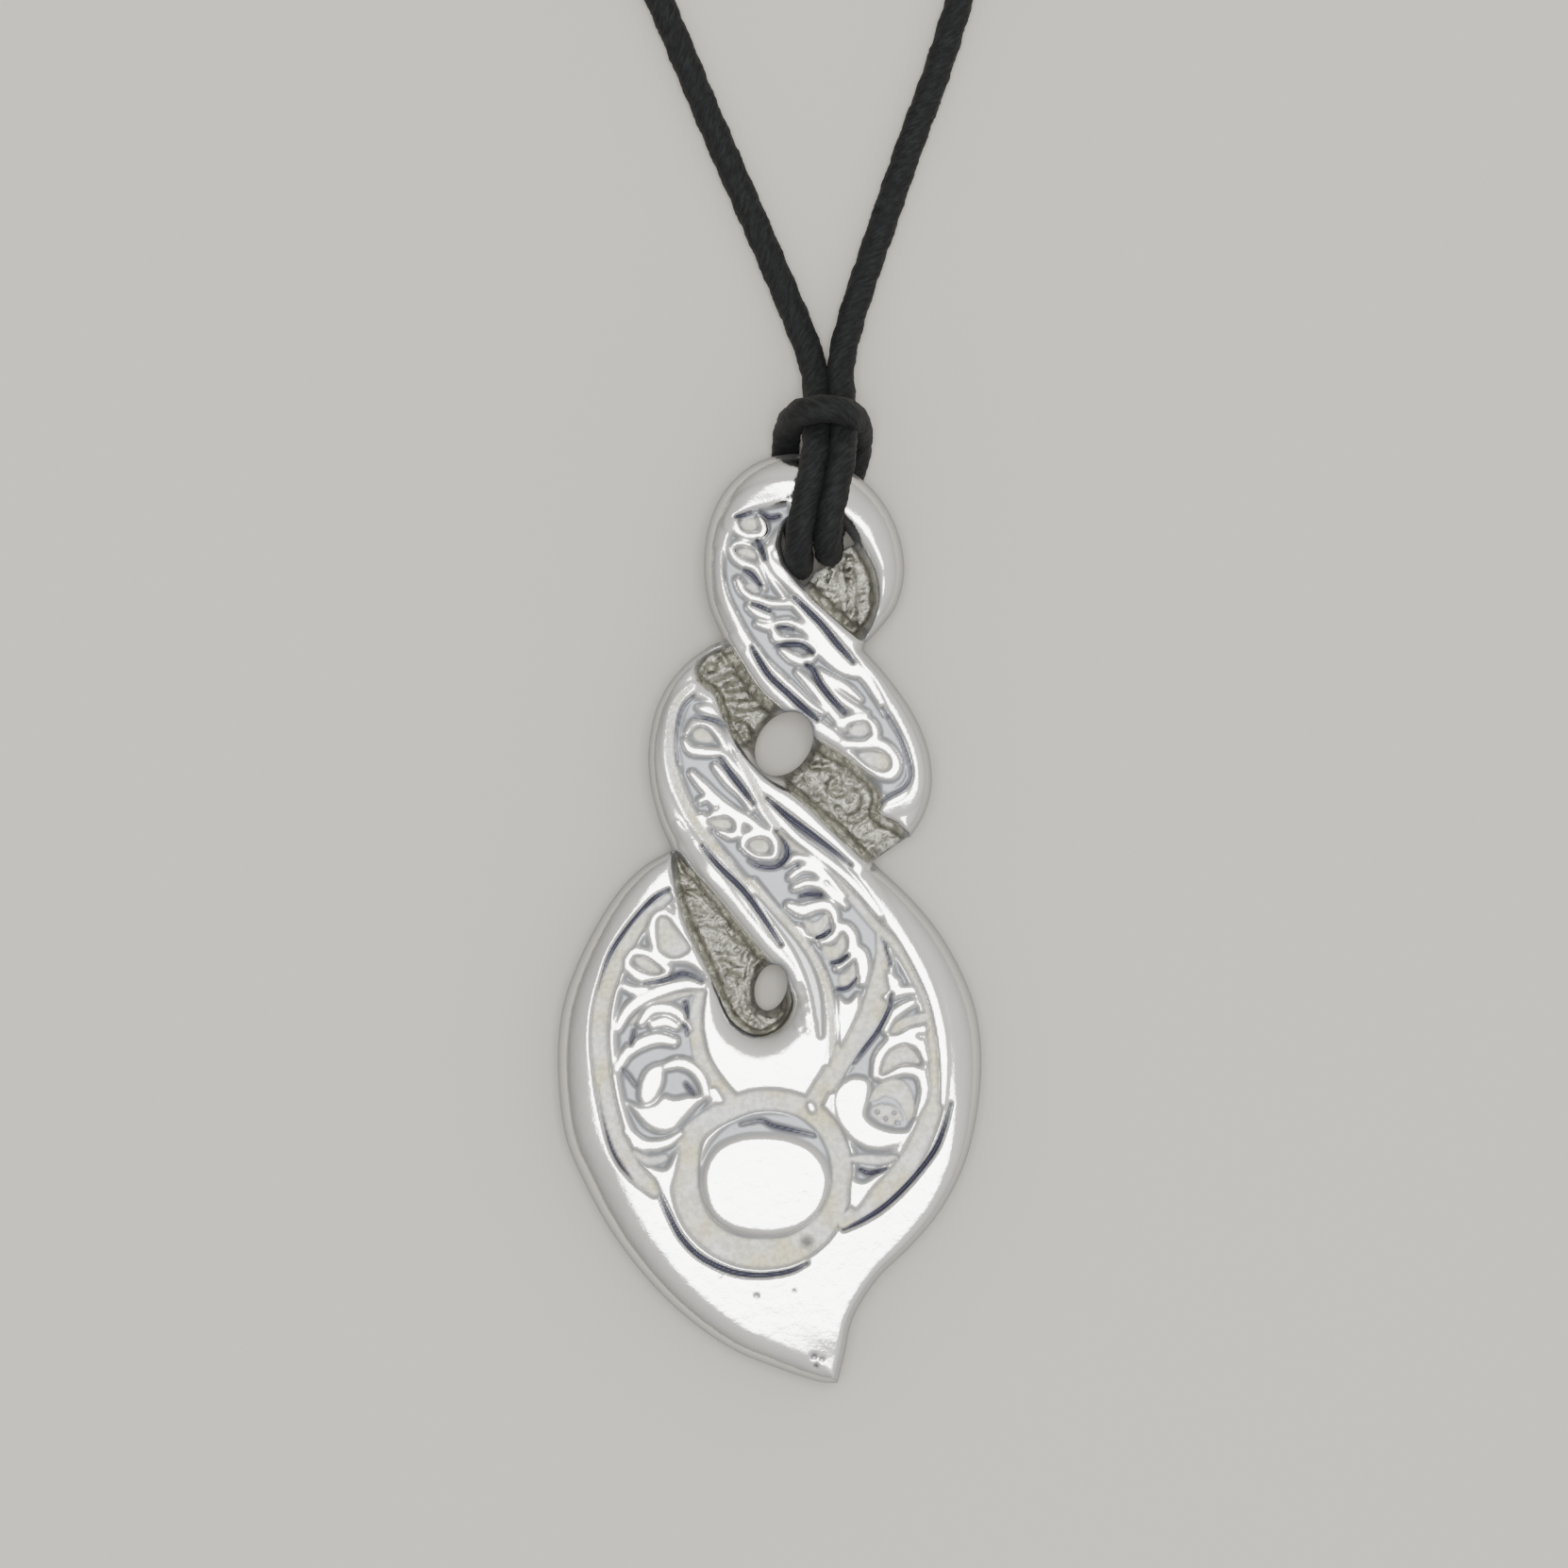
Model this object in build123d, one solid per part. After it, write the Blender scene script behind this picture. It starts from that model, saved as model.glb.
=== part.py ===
"""A pewter infinity pendant on a black waxed cotton cord, lying face up on a table.

The pendant is one casting: a ring with an eye at the top, a front strand that crosses down to the
right, a lower strand that crosses under it and widens into a leaf, and rough sunk grounds between
them. Its flat back lies on z = 0, +Y runs up to the ring and +Z is the face. The cord is hitched
through the eye, and its loop lies on the table with both ends in one knot.
"""

import os
from math import radians, tan

from build123d import *

# Driving sizes of the casting, in millimetres
pendant_width = 23.0
pendant_height = 50.0
ring_top = 4.7
leaf_top = 4.2
ground_top = 2.3
edge_slope = 0.7
relief_depth = 0.5
cord_tunnel = 1.7
tunnel_reach = 0.52

# Driving sizes of the cord
cord_diameter = 1.5
knot_diameter = 3.2
knot_turns = 3

half_width = pendant_width / 2
half_height = pendant_height / 2
cord_radius = cord_diameter / 2

# Outlines as rows of (across, up), shares of half_width and half_height. Each outline is a list of
# smooth stretches that meet at its corners, and the last stretch ends where the first one starts.
upper_front = [
    [
        (-0.213, 0.603), (-0.279, 0.676), (-0.301, 0.757), (-0.284, 0.838), (-0.222, 0.909),
        (-0.121, 0.962), (0.002, 0.992), (0.156, 1.000), (0.323, 0.980), (0.464, 0.935),
        (0.560, 0.879), (0.618, 0.814), (0.635, 0.743), (0.600, 0.676), (0.525, 0.628),
        (0.433, 0.583),
    ],
    [
        (0.433, 0.583), (0.552, 0.522), (0.670, 0.445), (0.745, 0.364), (0.763, 0.287),
        (0.727, 0.225), (0.662, 0.174),
    ],
    [(0.662, 0.174), (0.596, 0.215), (0.525, 0.245), (0.496, 0.297)],
    [
        (0.496, 0.297), (0.354, 0.340), (0.200, 0.387), (0.068, 0.439), (-0.037, 0.480),
        (-0.138, 0.547), (-0.213, 0.603),
    ],
]
eye_window = [
    [
        (0.064, 0.763), (0.051, 0.806), (0.077, 0.846), (0.147, 0.868), (0.253, 0.874),
        (0.345, 0.854), (0.433, 0.798), (0.495, 0.741), (0.506, 0.676), (0.442, 0.601),
    ],
    [(0.442, 0.601), (0.288, 0.656), (0.156, 0.713), (0.064, 0.763)],
]
lower_front = [
    [
        (-0.120, 0.625), (-0.204, 0.597), (-0.305, 0.559), (-0.442, 0.500), (-0.525, 0.437),
        (-0.560, 0.364), (-0.552, 0.287), (-0.508, 0.209), (-0.450, 0.148),
    ],
    [
        (-0.450, 0.148), (-0.591, 0.105), (-0.723, 0.045), (-0.855, -0.047), (-0.955, -0.154),
        (-1.000, -0.291), (-0.972, -0.429), (-0.886, -0.551), (-0.727, -0.688), (-0.516, -0.804),
        (-0.253, -0.907), (0.024, -0.975), (0.323, -1.000),
    ],
    [
        (0.323, -1.000), (0.361, -0.923), (0.399, -0.856), (0.512, -0.773), (0.662, -0.706),
        (0.802, -0.630), (0.918, -0.528), (0.984, -0.407), (1.000, -0.285), (0.949, -0.166),
        (0.829, -0.053), (0.679, 0.036), (0.486, 0.121),
    ],
    [
        (0.486, 0.121), (0.284, 0.209), (0.130, 0.271), (-0.011, 0.312), (-0.108, 0.362),
        (-0.187, 0.423), (-0.200, 0.484), (-0.150, 0.530),
    ],
    [(-0.150, 0.530), (-0.120, 0.625)],
]
leaf_window = [
    [
        (-0.400, 0.085), (-0.275, 0.038), (-0.155, -0.028), (-0.040, -0.085), (0.055, -0.130),
        (0.095, -0.178), (0.048, -0.222), (-0.051, -0.235), (-0.160, -0.205), (-0.222, -0.154),
        (-0.275, -0.101), (-0.349, -0.032), (-0.400, 0.085),
    ],
]
# Straight-sided outline of the rough ground that joins the strands behind their crossings
rough_ground = [
    (-0.170, 0.600), (-0.300, 0.545), (-0.430, 0.440), (-0.450, 0.240), (-0.330, 0.110),
    (-0.500, 0.080), (-0.450, -0.020), (-0.330, -0.150), (-0.200, -0.260), (0.060, -0.260),
    (0.180, -0.180), (0.380, 0.020), (0.486, 0.125), (0.655, 0.182), (0.600, 0.280),
    (0.620, 0.400), (0.520, 0.500), (0.420, 0.590), (0.540, 0.640), (0.560, 0.740),
    (0.400, 0.765), (0.260, 0.725), (0.170, 0.690), (-0.050, 0.620),
]

# Holes through the casting, a row each: across, up, half length, half breadth (both shares of
# half_width) and turn in degrees
through_holes = [
    (0.072, 0.376, 0.155, 0.125, 55),
    (0.010, -0.150, 0.105, 0.070, 75),
]

# Outlines of the relief's sunk fields, rows of (across, up) shares
leaf_field = [
    (-0.440, 0.045), (-0.600, 0.000), (-0.715, -0.070), (-0.790, -0.200), (-0.795, -0.380),
    (-0.730, -0.500), (-0.560, -0.600), (-0.430, -0.600), (-0.380, -0.690), (-0.230, -0.745),
    (-0.020, -0.755), (0.200, -0.735), (0.360, -0.660), (0.480, -0.600), (0.700, -0.470),
    (0.800, -0.330), (0.760, -0.190), (0.640, -0.060), (0.520, 0.010), (0.400, 0.060),
    (0.240, 0.130), (0.060, 0.190), (-0.100, 0.245), (-0.250, 0.400), (-0.400, 0.370),
    (-0.390, 0.230), (-0.240, 0.110), (0.060, -0.060), (0.190, -0.160), (0.160, -0.260),
    (-0.060, -0.300), (-0.280, -0.230), (-0.340, -0.120),
]
strand_field = [
    (-0.100, 0.880), (0.020, 0.840), (-0.020, 0.780), (0.080, 0.700), (0.240, 0.630),
    (0.420, 0.550), (0.560, 0.470), (0.640, 0.380), (0.640, 0.300), (0.540, 0.300),
    (0.360, 0.370), (0.180, 0.430), (0.020, 0.500), (-0.120, 0.600), (-0.200, 0.700),
    (-0.200, 0.800),
]

# Raised ornament standing in the fields, a row each: across, up, half length and half breadth
# (both shares of half_width), turn in degrees
leaf_ornament = [
    (-0.015, -0.565, 0.310, 0.242, 0),
    (-0.020, -0.345, 0.275, 0.130, 0),
    (0.460, -0.420, 0.185, 0.175, 0),
    (-0.490, -0.420, 0.170, 0.120, 25),
    (-0.560, -0.300, 0.180, 0.085, 35),
    (-0.530, -0.195, 0.190, 0.080, 25),
    (-0.560, -0.105, 0.130, 0.065, -20),
    (-0.470, -0.040, 0.110, 0.055, -60),
    (0.470, -0.180, 0.300, 0.060, 68),
    (0.650, -0.165, 0.090, 0.055, 20),
    (0.660, -0.235, 0.110, 0.055, 15),
    (0.660, -0.305, 0.110, 0.055, 10),
    (0.190, 0.075, 0.120, 0.050, -15),
    (0.260, 0.005, 0.120, 0.050, -10),
    (0.330, -0.060, 0.110, 0.045, -5),
    (-0.050, 0.160, 0.110, 0.070, -10),
    (-0.190, 0.210, 0.110, 0.070, -10),
    (-0.200, 0.290, 0.150, 0.060, -50),
    (-0.300, 0.380, 0.090, 0.070, 10),
]
strand_ornament = [
    (-0.110, 0.790, 0.100, 0.065, -25),
    (-0.080, 0.720, 0.110, 0.060, -30),
    (-0.010, 0.660, 0.110, 0.055, -20),
    (0.090, 0.600, 0.110, 0.060, -5),
    (0.270, 0.505, 0.240, 0.085, -45),
    (0.430, 0.400, 0.095, 0.060, -10),
    (0.500, 0.335, 0.120, 0.065, -25),
]

# Route of the cord in millimetres. First the stretch in the photo: down the left strand, under the
# cross bar, over the ring's front, into the eye, back behind the ring and up into the cross bar,
# then the same way back to the right strand.
front_route = [
    (-8.7, 56.0, 0.77), (-5.7, 49.3, 0.77), (-3.2, 43.2, 0.77), (-0.8, 37.6, 0.77),
    (1.0, 33.4, 0.92), (2.00, 30.0, 1.42), (2.27, 27.75, 2.60), (2.32, 26.3, 4.20),
    (2.33, 24.7, 5.62), (1.75, 20.3, 5.62), (1.80, 18.75, 3.20), (1.75, 20.2, 0.79),
    (1.15, 22.8, 0.79), (0.70, 25.6, 0.79), (0.70, 26.9, 2.40), (0.95, 27.3, 4.60),
    (2.30, 27.4, 5.50), (3.90, 27.4, 5.50), (5.20, 27.3, 4.60), (5.42, 26.9, 2.40),
    (5.10, 25.6, 0.79), (4.10, 22.9, 0.79), (3.30, 20.9, 0.79), (3.35, 19.40, 3.20),
    (3.40, 20.9, 5.62), (3.88, 24.7, 5.62), (3.86, 26.3, 4.20), (3.82, 27.75, 2.60),
    (3.65, 30.0, 1.42), (4.35, 33.4, 0.92), (5.9, 37.6, 0.77), (7.6, 42.0, 0.77),
    (9.3, 46.2, 0.77), (10.6, 50.6, 0.77), (12.2, 56.0, 0.77),
]
# The stretch past the photo's edge, the plain way round: the left side up to the knot, then from
# the knot down the right side
left_route = [
    (-8.7, 56.0, 0.77), (-14.5, 69.0, 0.77), (-24.0, 90.0, 0.77), (-35.0, 113.0, 0.77),
    (-43.0, 138.0, 0.77), (-44.0, 163.0, 0.77), (-35.0, 184.0, 0.77), (-21.0, 198.0, 0.77),
    (-9.0, 203.5, 1.60), (-1.0, 203.5, 1.60),
]
right_route = [
    (4.0, 203.5, 1.60), (12.0, 203.5, 1.60), (25.0, 198.0, 0.77), (39.5, 185.5, 0.77),
    (48.0, 164.0, 0.77), (46.5, 139.0, 0.77), (38.0, 114.0, 0.77), (26.0, 91.0, 0.77),
    (16.35, 70.0, 0.77), (12.2, 56.0, 0.77),
]


def place(across, up):
    """A point in the pendant's plan, from its shares of the half sizes."""
    return (across * half_width, up * half_height)


def smooth_face(stretches):
    """The flat face inside smooth stretches that meet at corners."""
    edges = [Spline([place(*row) for row in rows]) for rows in stretches]
    return make_face(edges)


def straight_face(rows):
    """The flat face inside straight sides."""
    return make_face(Polyline([place(*row) for row in rows], close=True))


def ovals(rows):
    """Flat ovals from rows of across, up, half length, half breadth and turn."""
    return [
        Location((*place(across, up), 0), (0, 0, turn))
        * Ellipse(length * half_width, breadth * half_width)
        for across, up, length, breadth, turn in rows
    ]


def front_band(stretches, window, top):
    """A polished band with its outer upper edges sloped all round and a window cut through it."""
    band = extrude(smooth_face(stretches), top)
    band = chamfer(band.faces().sort_by(Axis.Z)[-1].edges(), edge_slope)
    return band - extrude(smooth_face(window), top)


def sunk_field(rows, ornament, top):
    """What the relief takes away: a field less the ornament that stands in it."""
    field = extrude(straight_face(rows), relief_depth * 2)
    for oval in ovals(ornament):
        field -= extrude(oval, relief_depth * 2)
    return Pos(0, 0, top - relief_depth) * field


def under_the_ring():
    """The space behind the ring's top where the cord passes, with a slope down to the back."""
    slope_end = tunnel_reach * half_height
    slope_top = (tunnel_reach + 0.2) * half_height
    past_ring = pendant_height
    side = Polyline((slope_end, 0), (slope_top, cord_tunnel), (past_ring, cord_tunnel),
                    (past_ring, -cord_tunnel), (slope_end, -cord_tunnel), close=True)
    return extrude(Plane.YZ * make_face(side), pendant_width, both=True)


def casting():
    """The whole pewter casting as one solid."""
    upper = front_band(upper_front, eye_window, ring_top)
    upper -= sunk_field(strand_field, strand_ornament, ring_top)
    lower = front_band(lower_front, leaf_window, leaf_top)
    lower -= sunk_field(leaf_field, leaf_ornament, leaf_top)
    ground = extrude(straight_face(rough_ground), ground_top)
    solid = upper + lower + ground
    for oval in ovals(through_holes):
        solid -= extrude(oval, ring_top)
    return solid - under_the_ring()


def corner_radii(route, label):
    """The largest tangent arc that each corner's shorter run allows, printed as it is made."""
    radii = []
    for before, here, after in zip(route, route[1:], route[2:]):
        run_in, run_out = Vector(here) - Vector(before), Vector(after) - Vector(here)
        turn = run_in.get_angle(run_out)
        radii.append(0.45 * min(run_in.length, run_out.length) / tan(radians(turn / 2)))
    print(label, "radii", [round(radius, 1) for radius in radii])
    return radii


def tube(route, label):
    """A plain round cord along straight runs joined by tangent arcs."""
    path = FilletPolyline(route, radius=corner_radii(route, label))
    start = Plane(origin=path @ 0, z_dir=path % 0)
    cord = sweep(start * Circle(cord_radius), path=path)
    section = Circle(cord_radius).area
    print(label, "length", round(path.length, 2), "volume over section x length",
          round(cord.volume / (section * path.length), 4))
    return cord


def knot():
    """The knot that holds both ends: a barrel with three soft turns, lying between them."""
    left_end, right_end = Vector(left_route[-1]), Vector(right_route[0])
    length = (right_end - left_end).length
    pitch = length / knot_turns
    line = [Line((0, 0), (0, cord_radius))]
    for turn in range(knot_turns):
        start, crown, end = turn * pitch, (turn + 0.5) * pitch, (turn + 1) * pitch
        line.append(ThreePointArc((start, cord_radius), (crown, knot_diameter / 2),
                                  (end, cord_radius)))
    line.append(Line((length, cord_radius), (length, 0)))
    line.append(Line((length, 0), (0, 0)))
    barrel = revolve(make_face(line), Axis.X)
    return Pos(*left_end) * barrel


os.makedirs("parts", exist_ok=True)
export_step(casting(), "parts/infinity_pendant.step")
export_step(tube(front_route, "front_cord"), "parts/front_cord.step")
export_step(tube(left_route, "back_cord_left"), "parts/back_cord_left.step")
export_step(tube(right_route, "back_cord_right"), "parts/back_cord_right.step")
export_step(knot(), "parts/end_knot.step")
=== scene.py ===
"""A cast pewter twist pendant on a black waxed cord, lying face up on a pale table.

The face of the casting is modelled as a carver would: bands with rounded shoulders cross each
other, fields are sunk into them, and ridges, pads, channels and cuts stand or lie in the fields.
Their charts are in pixels of the 1662 x 1662 photograph, which one scale turns to metres.
"""

import math

import bmesh
import bpy
import numpy as np
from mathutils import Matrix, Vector, noise


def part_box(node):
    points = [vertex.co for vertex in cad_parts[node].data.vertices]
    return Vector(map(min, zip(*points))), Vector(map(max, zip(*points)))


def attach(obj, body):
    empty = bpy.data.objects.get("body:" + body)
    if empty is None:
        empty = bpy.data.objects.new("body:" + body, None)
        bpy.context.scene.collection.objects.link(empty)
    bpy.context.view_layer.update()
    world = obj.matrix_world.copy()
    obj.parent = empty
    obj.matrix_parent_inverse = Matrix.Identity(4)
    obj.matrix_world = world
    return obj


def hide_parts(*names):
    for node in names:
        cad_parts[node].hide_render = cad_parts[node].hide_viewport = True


bl_info = {
    "name": "Pewter twist pendant",
    "version": (1, 0, 0),
    "blender": (4, 5, 0),
    "location": "View3D > Sidebar > Pendant",
    "description": "Dresses the packed pendant with its cast face, its cord and a stage",
    "category": "Object",
}

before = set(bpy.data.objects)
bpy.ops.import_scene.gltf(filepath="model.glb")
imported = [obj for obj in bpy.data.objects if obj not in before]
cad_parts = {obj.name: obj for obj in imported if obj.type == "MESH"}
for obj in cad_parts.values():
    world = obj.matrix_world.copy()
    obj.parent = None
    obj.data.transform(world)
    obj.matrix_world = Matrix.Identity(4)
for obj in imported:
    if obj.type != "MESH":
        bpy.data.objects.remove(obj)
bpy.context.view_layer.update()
MM = 0.001

# The photograph's pixels and the casting's real size
PHOTO_PX = 1662
OUTLINE_MIDDLE_PX = (814.5, 974.0)
OUTLINE_HEIGHT_PX = 988.0
LOW, HIGH = (Vector(corner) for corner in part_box("infinity_pendant"))
PX = (HIGH.y - LOW.y) / OUTLINE_HEIGHT_PX
PX_MM = PX / MM
CAST_TOP_MM = HIGH.z / MM

# The back is hollowed behind the ring, for the cord: where the hollow starts and is full, its
# depth, and the least height of the face's edge and of the walls' foot over the back
TUNNEL_START, TUNNEL_FULL = 0.52 * HIGH.y, 0.72 * HIGH.y
TUNNEL_LIFT = 1.7 * MM
LEAST_EDGE = 0.35 * MM
WALL_FOOT = 0.2 * MM

# What the pewter's material reads from the casting's vertices
MARKS = ("patina", "oxide_and_shade", "ground", "satin")

# Pairs of a point and a stretch of a line that are measured at once, to spare memory
PAIRS_AT_ONCE = 1500000

# Outlines of the two polished bands: rows of pixel across, pixel down and shoulder width in pixels.
# Each outline is a list of smooth stretches that meet at its corners.
UPPER_BAND = [
    [
        (766, 676, 18), (751, 640, 19), (746, 600, 22), (750, 560, 27), (764, 525, 30),
        (787, 499, 28), (815, 484, 27), (850, 480, 30), (888, 490, 35), (920, 512, 35),
        (942, 540, 30), (955, 572, 29), (959, 607, 27), (951, 640, 23), (934, 664, 14),
        (913, 686, 7),
    ],
    [
        (913, 686, 10), (940, 716, 12), (967, 754, 14), (984, 794, 14), (988, 832, 14),
        (980, 863, 16), (965, 888, 13),
    ],
    [(965, 888, 8), (956, 881, 6), (946, 873, 5), (935, 869, 4), (928, 861, 4), (932, 848, 4)],
    [
        (932, 848, 5), (925, 830, 5), (895, 806, 7), (860, 783, 7), (830, 757, 7), (806, 737, 7),
        (783, 704, 8), (766, 676, 14),
    ],
]
EYE = [
    [
        (832, 595, 3), (828, 576, 4), (833, 556, 6), (848, 545, 7), (872, 542, 7),
        (893, 556, 13), (911, 583, 16), (924, 610, 15), (927, 642, 9), (915, 677, 6),
    ],
    [(915, 677, 6), (882, 649, 5), (852, 621, 4), (832, 595, 3)],
]
LOWER_BAND = [
    [
        (777, 677, 4), (757, 682, 6), (742, 691, 8), (726, 704, 11), (711, 721, 14),
        (701, 738, 16), (693, 758, 17), (687, 794, 16), (689, 832, 17), (699, 871, 16),
        (712, 901, 10),
    ],
    [
        (712, 901, 10), (680, 920, 20), (650, 952, 27), (620, 1003, 32), (597, 1062, 35),
        (590, 1125, 36), (597, 1201, 37), (618, 1255, 40), (650, 1312, 36), (690, 1363, 32),
        (730, 1401, 30), (775, 1432, 28), (820, 1451, 26), (865, 1466, 20), (888, 1468, 10),
    ],
    [
        (888, 1468, 8), (896, 1435, 8), (905, 1397, 9), (931, 1356, 10), (965, 1323, 12),
        (997, 1285, 14), (1023, 1235, 18), (1037, 1178, 26), (1041, 1115, 34), (1031, 1058, 35),
        (1003, 1000, 32), (969, 956, 29), (925, 914, 22),
    ],
    [
        (925, 914, 10), (879, 871, 7), (844, 840, 6), (812, 820, 6), (790, 795, 6),
        (773, 768, 5), (767, 750, 5), (759, 732, 5), (747, 723, 5), (740, 711, 4),
        (745, 700, 4), (758, 691, 3), (777, 684, 3), (777, 677, 3),
    ],
]
CAVITY = [
    [
        (714, 905, 6), (730, 925, 10), (752, 950, 14), (779, 983, 15), (805, 1014, 14),
        (827, 1038, 18), (836, 1062, 24), (825, 1084, 30), (803, 1092, 34), (780, 1080, 28),
        (764, 1050, 14), (752, 1024, 8), (735, 990, 8), (722, 955, 7), (714, 905, 6),
    ],
]
ROUGH_GROUND = [
    [
        (850, 625), (857, 616), (865, 604), (874, 600), (896, 580), (906, 576), (918, 586),
        (930, 606), (934, 640), (920, 668),
        (915, 690), (932, 722), (956, 762), (972, 800), (972, 845), (963, 887), (925, 913.5),
        (915, 955), (892, 1000), (878, 1050), (855, 1100), (805, 1112), (768, 1092), (742, 1050),
        (722, 995), (712, 950), (713, 907), (722, 880), (712, 835), (706, 785), (712, 745),
        (721, 724), (733, 708), (748, 694), (760, 686), (776, 679), (795, 668), (830, 645),
        (850, 625),
    ],
]

# Through holes, a row each: pixel across and down, half length and half breadth, turn in degrees
HOLES = [
    (831, 788, 37, 28, 55),
    (817, 1048, 26, 17, 75),
]

# Height of the polished bands' tops in millimetres at chosen pixels: a band dives where it passes
# under the other one.
UPPER_TOPS = [
    (850, 505, 4.15), (765, 560, 4.4), (775, 640, 4.58), (790, 690, 4.6), (925, 540, 3.95),
    (943, 590, 3.9), (944, 620, 3.75), (937, 652, 3.5), (830, 600, 4.5), (850, 628, 4.58),
    (872, 652, 4.58), (893, 673, 4.58), (912, 695, 4.58), (935, 722, 4.58), (870, 740, 4.6),
    (820, 735, 4.6), (955, 760, 4.5), (960, 820, 4.4), (955, 870, 4.25), (944, 846, 4.4),
]
LOWER_TOPS = [
    (765, 690, 3.1), (722, 725, 3.85), (700, 800, 4.15), (720, 870, 4.15), (760, 930, 4.15),
    (830, 850, 4.1), (900, 960, 4.15), (1000, 1100, 4.15), (800, 1130, 4.15), (800, 1250, 4.1),
    (620, 1100, 4.05), (635, 1000, 3.95), (706, 906, 3.6), (685, 935, 3.7), (640, 1250, 4.1),
    (960, 1250, 4.1), (760, 1400, 4.1), (880, 1400, 4.1), (885, 1458, 4.0),
]
GROUND_TOP_MM = 2.3

# The relief. Fields: level in millimetres, width of the slope round them in pixels, the outline.
FIELDS = [
    (-0.24, 9, [
        (778, 548), (790, 538), (812, 534), (836, 530), (842, 540), (836, 556), (823, 570),
        (812, 585), (820, 602), (836, 621), (853, 638), (872, 658), (890, 677), (906, 694),
        (925, 717), (941, 746), (955, 772), (964, 800), (967, 822), (960, 836), (940, 849),
        (925, 836), (906, 816), (893, 797), (880, 779), (860, 766), (838, 748), (818, 727),
        (803, 706), (790, 690), (777, 665), (767, 640), (762, 610), (765, 585), (771, 565),
    ]),
    (-0.24, 9, [
        (735, 735), (758, 744), (772, 763), (776, 788), (785, 808), (800, 828), (820, 847),
        (845, 867), (870, 888), (900, 915), (924, 943), (938, 970), (936, 1000), (928, 1030),
        (916, 1064), (903, 1090), (890, 1112), (880, 1100), (878, 1070), (869, 1036),
        (853, 1006), (834, 984), (813, 962), (792, 938), (772, 914), (752, 889), (734, 862),
        (721, 832), (714, 800), (716, 768), (723, 746),
    ]),
    (-0.24, 9, [
        (706, 958), (690, 972), (671, 1003), (657, 1035), (650, 1070), (650, 1110), (654, 1150),
        (664, 1190), (682, 1225), (702, 1260), (712, 1258), (720, 1222), (736, 1195),
        (755, 1168), (744, 1130), (736, 1090), (742, 1050), (757, 1036), (742, 1010),
        (724, 982), (714, 958),
    ]),
    (-0.16, 5, [
        (738, 1250), (744, 1222), (762, 1196), (790, 1180), (826, 1177), (858, 1186), (880, 1208),
        (890, 1240), (888, 1270), (872, 1298), (845, 1313), (810, 1318), (775, 1312), (750, 1292),
    ]),
    (-0.24, 9, [
        (944, 1002), (962, 1030), (975, 1060), (981, 1100), (981, 1150), (974, 1185),
        (952, 1220), (930, 1248), (905, 1282), (899, 1260), (903, 1225), (886, 1197),
        (880, 1165), (892, 1138), (908, 1112), (928, 1085), (943, 1052),
    ]),
]

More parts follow.
